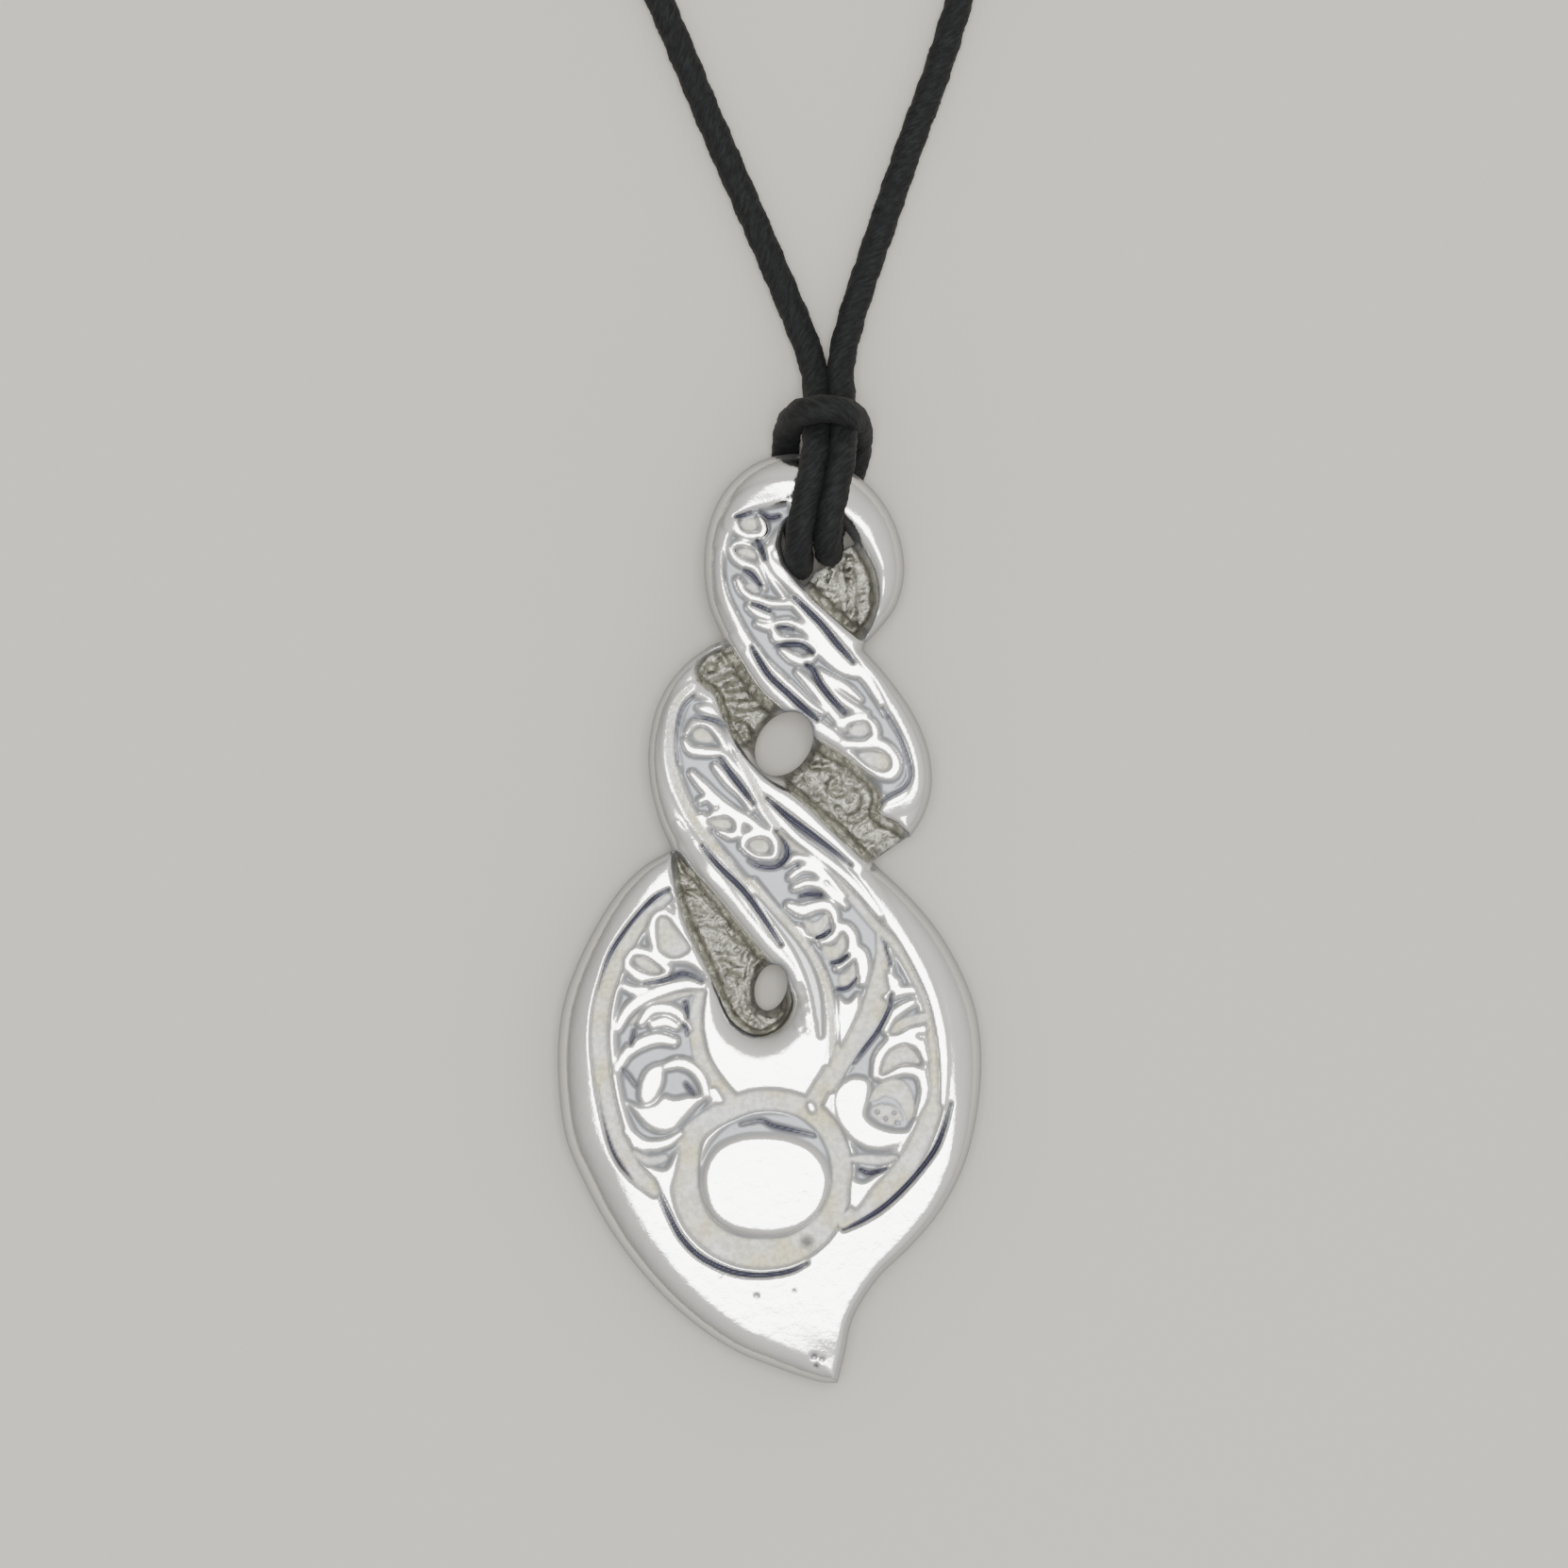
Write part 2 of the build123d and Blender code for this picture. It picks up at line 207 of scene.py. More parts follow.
# Ridges with a rounded crest: level, then rows of pixel across, down and half width
RIDGES = [
    # Borders of the upper strand
    (0.05, [
        (761, 585, 3), (762, 608, 4), (766, 630, 5), (776, 651, 5), (788, 673, 5), (800, 690, 5),
        (813, 706, 5), (828, 720, 5), (843, 734, 5), (856, 745, 4), (872, 756, 2),
    ]),
    (0.05, [
        (772, 557, 5), (775, 546, 7), (785, 534, 9), (800, 526, 11), (818, 520, 11), (838, 516, 9),
    ]),
    (0.05, [
        (791, 692, 2), (803, 708, 3), (817, 724, 5), (832, 739, 6), (848, 753, 6), (866, 768, 6),
        (882, 779, 6), (894, 788, 4),
    ]),
    (0.05, [
        (818, 579, 3), (812, 586, 4), (816, 597, 5), (830, 610, 6), (848, 627, 6), (866, 646, 6),
        (882, 661, 6), (898, 677, 6), (913, 694, 6), (927, 714, 6), (940, 737, 6), (952, 757, 6),
        (963, 778, 6), (971, 802, 6), (974, 822, 6), (971, 840, 6), (962, 852, 6), (949, 858, 5),
        (936, 860, 4),
    ]),
    (0.0, [
        (836, 636, 2), (850, 650, 4), (866, 670, 5), (882, 689, 5), (900, 704, 5), (917, 718, 5),
        (930, 738, 4), (940, 757, 2),
    ]),
    (0.0, [
        (846, 662, 3), (858, 672, 4), (870, 690, 5), (882, 702, 5), (894, 711, 4), (907, 716, 2),
    ]),
    # Feathered loops of the upper strand
    (0.04, [
        (775, 553, 6), (783, 562, 6), (795, 567, 5), (805, 568, 4), (810, 560, 4), (806, 549, 3),
    ]),
    (0.0, [(778, 577, 2), (786, 575, 3), (795, 578, 2)]),
    (0.02, [
        (774, 582, 3), (779, 590, 5), (790, 598, 5), (800, 602, 4), (806, 614, 3), (810, 624, 2),
    ]),
    (-0.02, [(801, 584, 2), (810, 600, 3), (818, 615, 3), (830, 632, 2)]),
    (0.02, [
        (782, 615, 3), (788, 625, 5), (800, 634, 5), (814, 639, 4), (828, 640, 3), (838, 641, 2),
    ]),
    (0.02, [(795, 643, 4), (804, 649, 6), (815, 654, 4)]),
    (0.0, [(802, 661, 2), (814, 664, 4), (825, 661, 4), (838, 660, 4), (847, 665, 2)]),
    (0.02, [(820, 668, 3), (823, 676, 5), (834, 679, 4), (849, 680, 4), (861, 685, 3)]),
    (0.02, [(829, 689, 3), (840, 697, 5), (853, 701, 5), (861, 696, 4), (861, 688, 3)]),
    (0.0, [
        (845, 712, 2), (856, 723, 4), (868, 737, 5), (878, 750, 5), (887, 761, 5), (895, 772, 4),
    ]),
    (0.0, [(866, 712, 3), (880, 720, 5), (896, 729, 5), (912, 742, 2)]),
    (0.0, [(872, 723, 2), (888, 738, 4), (903, 749, 4), (918, 757, 3)]),
    (0.03, [
        (890, 768, 5), (903, 762, 5), (916, 763, 5), (925, 770, 5), (928, 780, 4), (920, 785, 2),
    ]),
    (0.03, [
        (896, 789, 5), (914, 790, 5), (932, 789, 6), (944, 798, 6), (950, 811, 6), (944, 821, 6),
        (929, 819, 5), (913, 810, 4), (900, 800, 4),
    ]),
    # Borders of the lower strand
    (0.05, [
        (742, 725, 3), (730, 731, 5), (718, 744, 6.5), (711, 764, 7.5), (708, 789, 7.5),
        (710, 812, 7.5), (717, 836, 7), (728, 858, 7), (742, 881, 6), (757, 902, 5), (773, 920, 4),
        (787, 939, 4), (803, 959, 3), (818, 978, 2),
    ]),
    (0.05, [
        (718, 872, 2), (729, 890, 4), (742, 909, 6),
        (758, 932, 8), (774, 955, 8), (791, 978, 8), (808, 998, 8), (824, 1014, 8), (836, 1032, 7),
        (841, 1052, 5),
    ]),
    (0.05, [
        (788, 806, 3), (800, 824, 5), (816, 838, 6), (834, 850, 6), (852, 864, 6), (870, 881, 6),
        (888, 898, 6), (906, 916, 7), (922, 936, 7), (936, 957, 7), (950, 981, 7), (963, 1004, 7),
        (977, 1030, 7), (989, 1060, 6), (997, 1095, 6), (1000, 1130, 5), (999, 1170, 3),
    ]),
    (0.02, [
        (814, 850, 3), (825, 867, 5), (841, 885, 5), (860, 900, 5), (880, 915, 5), (900, 932, 5),
        (916, 950, 4), (932, 970, 3),
    ]),
    (0.02, [
        (799, 934, 2), (815, 955, 3), (832, 976, 3), (850, 999, 4), (865, 1020, 4), (875, 1043, 4),
        (881, 1068, 4), (883, 1100, 3), (877, 1128, 2),
    ]),
    # Loops of the lower strand
    (0.02, [(726, 786, 3), (733, 795, 5), (749, 797, 5), (765, 798, 4), (774, 808, 4),
            (787, 824, 3), (799, 843, 3), (808, 862, 3), (822, 880, 2)]),
    (-0.02, [(728, 777, 2), (737, 766, 4), (750, 766, 4), (762, 778, 4), (770, 794, 3)]),
    (0.02, [
        (733, 820, 3), (745, 833, 5), (758, 846, 5), (773, 858, 5), (790, 868, 5), (806, 879, 4),
        (822, 890, 2),
    ]),
    (0.0, [(758, 812, 3), (772, 828, 5), (787, 843, 4), (796, 858, 3)]),
    (0.0, [(742, 849, 3), (750, 846, 3), (757, 853, 3)]),
    (0.04, [(744, 867, 5), (750, 872, 7), (757, 868, 6)]),
    (0.02, [
        (757, 863, 4), (769, 861, 4), (780, 868, 4), (783, 879, 4), (776, 886, 4), (763, 881, 3),
    ]),
    (0.03, [
        (787, 897, 3), (790, 888, 5), (803, 883, 5), (816, 885, 5), (822, 895, 4), (820, 908, 3),
        (805, 908, 3), (792, 902, 3),
    ]),
    (0.0, [(832, 915, 3), (846, 909, 4), (862, 914, 4), (878, 930, 4), (895, 950, 3)]),
    (0.0, [(838, 930, 3), (850, 921, 4), (863, 922, 4), (872, 931, 3)]),
    (0.0, [(842, 941, 3), (856, 936, 4), (871, 939, 4), (882, 949, 4), (896, 960, 3)]),
    (0.04, [
        (836, 960, 4), (850, 965, 7), (864, 961, 6), (876, 960, 6), (884, 968, 5), (886, 978, 3),
    ]),
    (0.04, [(845, 984, 4), (858, 991, 5), (872, 993, 5)]),
    (0.04, [
        (872, 1000, 4), (884, 992, 5), (893, 983, 6), (902, 990, 6), (904, 1002, 6),
        (898, 1014, 4),
    ]),
    (0.04, [(888, 1026, 3), (900, 1014, 6), (910, 1010, 8), (915, 1024, 8), (914, 1040, 5)]),
    # Left half of the leaf
    (0.02, [(744, 1045, 5), (725, 1044, 6), (702, 1050, 7), (681, 1059, 7), (665, 1072, 6),
            (655, 1090, 4)]),
    (0.02, [(664, 1018, 4), (673, 1009, 5), (690, 1013, 5), (708, 1027, 4)]),
    (0.02, [(664, 1024, 4), (676, 1034, 6), (692, 1038, 6), (706, 1034, 3)]),
    (0.0, [(662, 1046, 4), (672, 1050, 5), (684, 1048, 3)]),
    (0.02, [(679, 1084, 4), (690, 1071, 6), (706, 1069, 6), (721, 1076, 5), (730, 1091, 4)]),
    (0.0, [(692, 1086, 5), (705, 1083, 6), (716, 1088, 4)]),
    (0.03, [(655, 1133, 4), (664, 1117, 6), (680, 1106, 7), (697, 1101, 7), (714, 1104, 5)]),
    (0.03, [(704, 1131, 4), (720, 1127, 6), (735, 1133, 6), (745, 1146, 6), (748, 1160, 4)]),
    (0.0, [(664, 1200, 4), (684, 1214, 6), (706, 1212, 5), (722, 1202, 3)]),
    # Balls in the channel
    (0.0, [(757, 1156, 4), (763, 1166, 5)]),
    (0.0, [(859, 1172, 5), (861, 1176, 5)]),
    # Right half of the leaf
    (0.0, [(939, 1057, 4), (955, 1051, 5), (968, 1050, 4)]),
    (0.02, [(939, 1092, 4), (945, 1078, 5), (956, 1069, 5), (967, 1063, 4)]),
    (0.02, [(943, 1100, 3), (962, 1094, 5), (980, 1091, 4)]),
    (0.03, [(928, 1140, 4), (932, 1122, 6), (943, 1108, 6), (960, 1102, 6), (975, 1108, 6),
            (982, 1123, 4)]),
    (0.03, [(936, 1143, 4), (955, 1135, 5), (973, 1137, 6), (980, 1150, 6), (979, 1166, 5),
            (972, 1182, 3)]),
]

# Pads with a rounded edge: level, edge width in pixels, then the outline
PADS = [
    (0.0, 6, [(736, 750), (748, 744), (760, 748), (773, 763), (758, 761), (744, 757)]),
    (0.02, 5, [
        (888, 1056), (898, 1062), (910, 1052), (912, 1066), (905, 1085), (897, 1102), (890, 1110),
        (887, 1085),
    ]),
    (0.0, 7, [
        (688, 968), (705, 960), (720, 972), (733, 986), (746, 1006), (763, 1032),
        (757, 1040), (742, 1032), (728, 1024), (705, 1022), (691, 1012), (684, 990),
    ]),
    (0.0, 6, [
        (676, 1163), (678, 1145), (686, 1132), (700, 1127), (705, 1142), (699, 1161),
        (690, 1171), (681, 1172),
    ]),
    (0.02, 7, [
        (663, 1167), (671, 1180), (682, 1193), (695, 1201), (707, 1202), (717, 1198),
        (726, 1188), (738, 1175), (750, 1162), (731, 1160), (715, 1163), (703, 1160),
        (692, 1169), (679, 1171),
    ]),
    (0.0, 6, [(693, 1239), (706, 1238), (721, 1214), (718, 1246), (707, 1268), (697, 1263)]),
    (0.02, 7, [
        (882, 1165), (889, 1149), (905, 1140), (923, 1146), (922, 1168), (919, 1182),
        (930, 1192), (946, 1197), (965, 1199), (960, 1212), (940, 1220), (918, 1219),
        (899, 1207), (886, 1188),
    ]),
    (0.0, 6, [(900, 1249), (916, 1252), (943, 1240), (926, 1262), (909, 1284), (899, 1276)]),
    (0.0, 6, [(937, 1028), (946, 1032), (956, 1038), (954, 1050), (942, 1052), (938, 1042)]),
    (0.08, 10, [
        (742, 1254), (747, 1230), (761, 1213), (784, 1203), (812, 1201), (840, 1205),
        (864, 1217), (878, 1236), (881, 1256), (874, 1281), (856, 1300), (830, 1310),
        (800, 1311), (770, 1303), (750, 1285),
    ]),
]

# Matte channels with a flat floor: rows of pixel across, down and half width
CHANNELS = [
    [
        (733, 1205, 12), (727, 1230, 14), (727, 1262, 14), (736, 1290, 14), (754, 1311, 14),
        (779, 1325, 15), (808, 1329, 16), (838, 1325, 15), (864, 1309, 14), (883, 1285, 12),
        (892, 1256, 11), (890, 1224, 11), (877, 1196, 11), (855, 1176, 11), (826, 1167, 11),
        (797, 1168, 11), (770, 1178, 11), (748, 1190, 11), (733, 1205, 12),
    ],
    [
        (745, 1046, 4), (739, 1064, 6), (737, 1091, 7), (744, 1125, 8), (760, 1152, 9),
        (776, 1170, 9),
    ],
    [(888, 1110, 5), (880, 1135, 7), (868, 1158, 9), (860, 1172, 9)],
    [
        (708, 951, 4), (680, 977, 7), (657, 1015, 8), (641, 1053, 9), (635, 1091, 9),
        (637, 1130, 9), (643, 1168, 9), (654, 1206, 9), (672, 1241, 9), (694, 1262, 7),
    ],
    [
        (806, 856, 3), (821, 875, 4), (836, 891, 4), (852, 905, 4), (872, 921, 5), (890, 938, 5),
        (908, 957, 5), (928, 981, 5), (950, 1003, 5),
        (972, 1038, 6), (985, 1068, 6), (991, 1107, 8), (993, 1145, 9), (986, 1183, 10),
        (968, 1225, 11), (943, 1256, 11), (914, 1281, 10), (894, 1296, 7),
    ],
    [
        (931, 990, 2), (934, 1020, 7), (931, 1050, 12), (922, 1078, 12), (906, 1104, 10),
        (892, 1128, 9), (880, 1150, 8),
    ],
    [(740, 1051, 2), (712, 1057, 4), (690, 1067, 4), (670, 1084, 3)],
    [(672, 1222, 3), (688, 1231, 5), (704, 1228, 4)],
    [(899, 1229, 3), (916, 1229, 5), (935, 1230, 5), (949, 1227, 3)],
]

# Hollows with a matte floor: the outline
HOLLOWS = [
    [(785, 552), (800, 549), (803, 560), (795, 564), (786, 560)],
    [(780, 585), (790, 580), (801, 585), (802, 593), (790, 591)],
    [(790, 619), (799, 619), (806, 628), (800, 630), (791, 624)],
    [(898, 773), (906, 767), (918, 766), (922, 775), (915, 781), (903, 780)],
    [(909, 799), (922, 796), (938, 799), (944, 809), (938, 817), (925, 814), (914, 807)],
    [(734, 775), (742, 771), (751, 775), (757, 786), (746, 788), (736, 784)],
    [(750, 870), (760, 867), (773, 869), (776, 877), (768, 880), (757, 877)],
    [(793, 894), (800, 889), (812, 890), (816, 898), (811, 905), (799, 904)],
    [(851, 974), (864, 977), (877, 967), (879, 978), (870, 990), (857, 990)],
    [(871, 1002), (884, 1002), (893, 988), (897, 1004), (888, 1016), (874, 1016)],
    [(889, 1034), (898, 1030), (905, 1019), (908, 1036), (899, 1046), (890, 1044)],
    [
        (697, 975), (706, 973), (714, 982), (722, 992), (731, 1004), (726, 1011),
        (714, 1015), (704, 1011), (698, 1003),
    ],
    [(671, 1015), (684, 1015), (699, 1026), (699, 1032), (687, 1031), (676, 1024)],
    [(943, 1095), (950, 1083), (967, 1076), (984, 1073), (985, 1083), (966, 1088), (951, 1096)],
    [(935, 1139), (938, 1121), (948, 1111), (962, 1108), (974, 1120), (975, 1128), (957, 1128)],
    [
        (920, 1168), (926, 1155), (936, 1146), (950, 1143), (962, 1150), (969, 1165),
        (970, 1180), (963, 1190), (957, 1178), (950, 1167), (938, 1163), (928, 1168),
    ],
    [(922, 1177), (934, 1170), (950, 1174), (958, 1186), (948, 1194), (932, 1190)],
]

# Stripes along the borders: level, share of dull skin, then rows of pixel across, down and half
# width
STRIPES = [
    (0.05, 0.9, [
        (733, 727, 3), (720, 740, 4), (713, 755, 5), (710, 778, 5), (710, 802, 5), (715, 825, 5),
        (724, 848, 5), (737, 872, 5), (753, 893, 5), (769, 911, 4), (783, 928, 3), (794, 938, 2),
    ]),
    (-0.12, 0.0, [
        (800, 950, 2), (822, 975, 4), (842, 1000, 5), (856, 1025, 6), (864, 1050, 6),
        (868, 1075, 5), (870, 1098, 3),
    ]),
    (0.02, 0.9, [
        (794, 933, 3), (818, 960, 4), (842, 987, 4), (860, 1011, 4), (872, 1035, 4),
        (879, 1062, 4), (882, 1092, 4), (881, 1118, 3),
    ]),
    (0.02, 0.9, [(783, 800, 3), (792, 818, 4), (802, 838, 4), (813, 860, 4), (824, 876, 4)]),
]

# Dark cuts: rows of pixel across, down and half width
CUTS = [
    [(709, 943, 1.5), (690, 955, 3), (664, 985, 3.5), (645, 1015, 2.2), (634, 1050, 1.2)],
    [(634, 1150, 1.2), (640, 1187, 2), (648, 1216, 3.4), (658, 1235, 4), (670, 1250, 2)],
    [
        (700, 1268, 1), (709, 1288, 2.5), (722, 1312, 3.2), (743, 1333, 3.6), (775, 1348, 4),
        (806, 1352, 3.6), (836, 1348, 3), (856, 1339, 1),
    ],
    [
        (1008, 1170, 1), (1001, 1195, 2.4), (992, 1217, 3.6), (978, 1237, 3.8), (958, 1260, 4.4),
        (936, 1280, 4.6), (914, 1294, 4.4), (894, 1304, 2),
    ],
    [(785, 1192, 1), (806, 1188, 2), (818, 1193, 3), (834, 1197, 3), (864, 1204, 1)],
    [(744, 896, 1.5), (760, 916, 3), (788, 944, 3.8), (808, 971, 3.4), (828, 1002, 1.5)],
    [(813, 846, 1.5), (833, 864, 4), (856, 881, 4.4), (880, 899, 3), (902, 917, 1)],
    [
        (735, 737, 1), (724, 749, 1.6), (718, 768, 1.6), (716, 792, 1.2), (719, 812, 0.6),
    ],
    [
        (935, 750, 1), (953, 780, 1.6), (963, 806, 1.8), (965, 824, 1.8), (957, 836, 1.8),
        (944, 843, 2), (934, 850, 1),
    ],
    [(797, 686, 1.5), (806, 702, 4), (816, 717, 4), (835, 735, 4), (850, 749, 4.6), (866, 763, 2)],
    [(842, 633, 1.5), (857, 648, 3.6), (872, 663, 3.6), (886, 681, 4), (904, 702, 1.5)],
    [
        (822, 880, 1.5), (832, 893, 3.4), (834, 908, 4), (822, 919, 3.4), (804, 918, 2.6),
        (793, 911, 1),
    ],
    [(764, 803, 1.5), (774, 820, 3.4), (789, 839, 3.4), (799, 852, 1)],
    [(855, 705, 3), (862, 710, 4.4), (868, 723, 4.4), (880, 739, 4.4), (895, 755, 2)],
    [(823, 685, 2), (836, 683, 4), (850, 684, 4), (861, 692, 2.5)],
    [(824, 665, 1.5), (832, 665, 3), (841, 667, 1.5)],
    [(806, 543, 1.5), (816, 549, 4), (826, 547, 3)],
    [(780, 548, 1.5), (787, 546, 3), (796, 543, 1.5)],
    [(803, 573, 2.5), (807, 582, 3.6), (811, 593, 2)],
    [(789, 604, 2), (797, 609, 4), (806, 620, 2.6)],
    [(797, 640, 1.5), (806, 643, 3), (816, 648, 2)],
    [(912, 1240, 2.5), (922, 1244, 3.6), (940, 1239, 1.5)],
    [(937, 998, 1.5), (940, 1010, 2.4), (944, 1022, 1.5)],
    [(945, 1054, 1.5), (942, 1070, 2.6), (931, 1092, 3), (916, 1112, 3), (905, 1127, 1.5)],
    [(848, 950, 2), (858, 948, 4), (870, 949, 3)],
    [(866, 994, 2.5), (872, 992, 3.4), (880, 987, 2)],
    [(882, 1021, 2.4), (890, 1019, 3.4), (898, 1013, 2)],
    [(888, 1049, 2.4), (898, 1047, 3.6), (908, 1037, 2)],
    [
        (683, 1043, 1), (700, 1040, 2.4), (712, 1036, 2.4), (722, 1032, 3), (732, 1034, 2.4),
        (744, 1041, 1),
    ],
    [(726, 1062, 2), (728, 1071, 3), (729, 1080, 1.5)],
    [(724, 1086, 1.5), (727, 1091, 2.4), (729, 1097, 1.5)],
    [(672, 1092, 1.5), (671, 1099, 2.4), (668, 1107, 1.5)],
    [(660, 1134, 1), (668, 1143, 1.8), (674, 1152, 1)],
    [(726, 1149, 1.5), (730, 1154, 3), (735, 1160, 1.5)],
    [(736, 760, 1), (750, 762, 2.4), (768, 768, 1.5)],
]

# Cast lumps and ledges on the rough grounds: height in millimetres, then rows of pixel across,
# down and half width
LUMPS = [
    # Rims round the lower hole
    (0.3, [
        (808, 1008, 2), (799, 1024, 3), (796, 1046, 4), (801, 1066, 4), (815, 1079, 4),
        (832, 1076, 3),
    ]),
    (0.34, [
        (800, 998, 2), (790, 1018, 3), (786, 1044, 3), (790, 1068, 4), (804, 1087, 4),
        (820, 1092, 3),
    ]),
    # Ledges of the cavity
    (0.5, [(718, 932, 4), (732, 938, 5), (746, 950, 4), (760, 965, 3)]),
    (0.4, [(722, 952, 4), (738, 958, 5), (754, 972, 4)]),
    (0.35, [(733, 978, 5), (752, 976, 6), (772, 986, 5), (786, 1000, 3)]),
    (0.3, [(742, 1000, 5), (760, 1004, 6), (780, 1008, 4)]),
    (0.35, [(756, 1028, 6), (770, 1024, 7), (784, 1028, 4)]),
    (0.3, [(764, 1052, 6), (776, 1056, 6)]),
    # Right of the middle hole
    (0.35, [(862, 812, 3), (880, 812, 4), (900, 820, 4), (918, 832, 4), (930, 846, 4)]),
    (0.3, [(842, 822, 3), (852, 836, 4), (868, 850, 4), (880, 866, 4)]),
    (0.35, [
        (880, 832, 3), (886, 824, 3), (895, 826, 3), (897, 835, 3), (890, 841, 3), (881, 838, 3),
    ]),
    (0.4, [
        (902, 830, 3), (913, 838, 4), (918, 852, 4), (910, 866, 4), (897, 868, 3), (888, 858, 3),
    ]),
    (0.3, [(868, 790, 3), (882, 796, 4), (893, 806, 4)]),
    (0.25, [(915, 880, 4), (932, 872, 5), (948, 874, 4)]),
    (0.25, [(890, 880, 4), (905, 893, 4), (926, 898, 4)]),
    # Left of the middle hole
    (0.5, [
        (742, 704, 4), (752, 697, 4), (763, 703, 4), (760, 715, 4), (748, 716, 4), (742, 706, 4),
    ]),
    (0.5, [(766, 712, 4), (779, 708, 4), (789, 716, 4), (786, 727, 4), (772, 728, 4)]),
    (0.7, [(763, 772, 6), (776, 768, 6), (788, 772, 5), (792, 782, 4)]),
    (0.6, [(772, 788, 4), (782, 796, 4), (790, 808, 3)]),
    (0.4, [(775, 745, 4), (790, 748, 5), (803, 745, 4)]),
    # Inside the ring
    (0.3, [(884, 600, 3), (882, 620, 4), (886, 642, 4)]),
    (0.3, [(900, 592, 3), (902, 615, 4), (904, 640, 4), (902, 662, 4)]),
]

# Small domes left standing in the channels and pits eaten into the casting: pixel across, down,
# radius in pixels and height in millimetres
SPOTS = [
    (855, 1317, 10, -0.22), (802, 1374, 4, -0.05),
    (863, 1438, 5, -0.09), (871, 1441, 4, -0.07), (865, 1448, 4, -0.08), (845, 918, 3, -0.12),
    (720, 958, 7, 0.10), (930, 1179, 4, 0.14), (939, 1186, 4, 0.16), (948, 1180, 4, 0.14),
    (951, 1190, 4, 0.12), (903, 770, 2, -0.05), (842, 1369, 3, -0.04), (764, 1352, 3, 0.03),
    (846, 1040, 4, 0.04), (855, 1046, 3, 0.04), (848, 1054, 4, 0.05), (858, 1058, 4, 0.04),
    (851, 1066, 4, 0.05), (861, 1071, 3, 0.04), (853, 1078, 4, 0.05), (864, 1085, 4, 0.04),
    (845, 1090, 4, 0.05), (856, 1093, 4, 0.04),
]

# Route of the cord's front, millimetres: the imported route, its hitch drawn to the photograph
FRONT_CORD_MM = [
    (-8.7, 56.0, 0.77), (-5.7, 49.3, 0.77), (-3.2, 43.2, 0.77), (-0.9, 38.0, 0.77),
    (1.0, 33.6, 0.85), (2.5, 29.9, 1.30), (2.62, 27.75, 2.60), (2.60, 26.3, 4.20),
    (2.50, 24.6, 5.62), (1.52, 20.3, 5.62), (1.68, 18.50, 3.20), (1.70, 20.2, 0.79),
    (1.20, 22.8, 0.79), (0.88, 25.2, 0.79), (1.00, 26.4, 2.30), (1.50, 27.1, 4.50),
    (2.50, 27.3, 5.60), (3.75, 27.3, 5.60), (4.55, 27.0, 4.60), (4.90, 26.4, 2.40),
    (4.85, 25.3, 0.79), (4.15, 22.8, 0.79), (3.30, 20.9, 0.79), (3.28, 19.30, 3.20),
    (3.08, 20.7, 5.62), (3.98, 24.6, 5.62), (4.05, 26.3, 4.20), (3.98, 27.75, 2.70),
    (3.80, 29.9, 1.75), (4.75, 33.4, 1.05), (6.1, 37.3, 0.77), (7.7, 42.0, 0.77),
    (9.3, 46.2, 0.77), (10.6, 50.6, 0.77), (12.2, 56.0, 0.77),
]


def to_linear(text):
    """Linear red, green, blue and alpha from an sRGB hex colour."""
    parts = [int(text[at:at + 2], 16) / 255 for at in (1, 3, 5)]
    return [*(v / 12.92 if v <= 0.04045 else ((v + 0.055) / 1.055) ** 2.4 for v in parts), 1.0]


def add(tree, kind, inputs=None, **settings):
    """Adds a node, sets its properties and its inputs. An input that is a socket is linked."""
    made = tree.nodes.new(kind)
    for name, value in settings.items():
        setattr(made, name, value)
    for name, value in (inputs or {}).items():
        if isinstance(value, bpy.types.NodeSocket):
            tree.links.new(value, made.inputs[name])
        else:
            made.inputs[name].default_value = value
    return made


def new_material(name):
    """An empty node material with its output."""
    material = bpy.data.materials.new(name)
    material.use_nodes = True
    material.node_tree.nodes.clear()
    return material, material.node_tree


def smooth_line(rows, step=3.0):
    """A curve through the rows, with about one sample each step pixels. Closed if its ends meet."""
    points = np.array(rows, float)
    if np.allclose(points[0], points[-1]):
        around = np.vstack([points[-2:-1], points, points[1:2]])
    else:
        around = np.vstack([2 * points[0] - points[1], points, 2 * points[-1] - points[-2]])
    samples = []
    for a, b, c, d in zip(around, around[1:], around[2:], around[3:]):
        count = max(2, int(np.hypot(*(c - b)[:2]) / step))
        t = np.linspace(0, 1, count, endpoint=False)[:, None]
        samples.append(b + 0.5 * t * (c - a + t * (2 * a - 5 * b + 4 * c - d
                                                   + t * (3 * (b - c) + d - a))))
    return np.vstack([*samples, points[-1:]])


def closed_line(outline):
    """A smooth closed curve through an outline's rows."""
    return smooth_line([*outline, outline[0]])


def stretch_line(stretches):
    """The closed outline of smooth stretches that meet at corners."""
    return np.vstack([smooth_line(rows) for rows in stretches])


def oval_line(across, down, length, breadth, turn):
    """The outline of an oval from its half length and half breadth, turned anticlockwise."""
    angle = np.linspace(0, 2 * np.pi, 49)[:, None]
    tilt = math.radians(turn)
    x = length * np.cos(angle)
    y = breadth * np.sin(angle)
    return np.hstack([across + x * math.cos(tilt) + y * math.sin(tilt),
                      down - x * math.sin(tilt) + y * math.cos(tilt)])


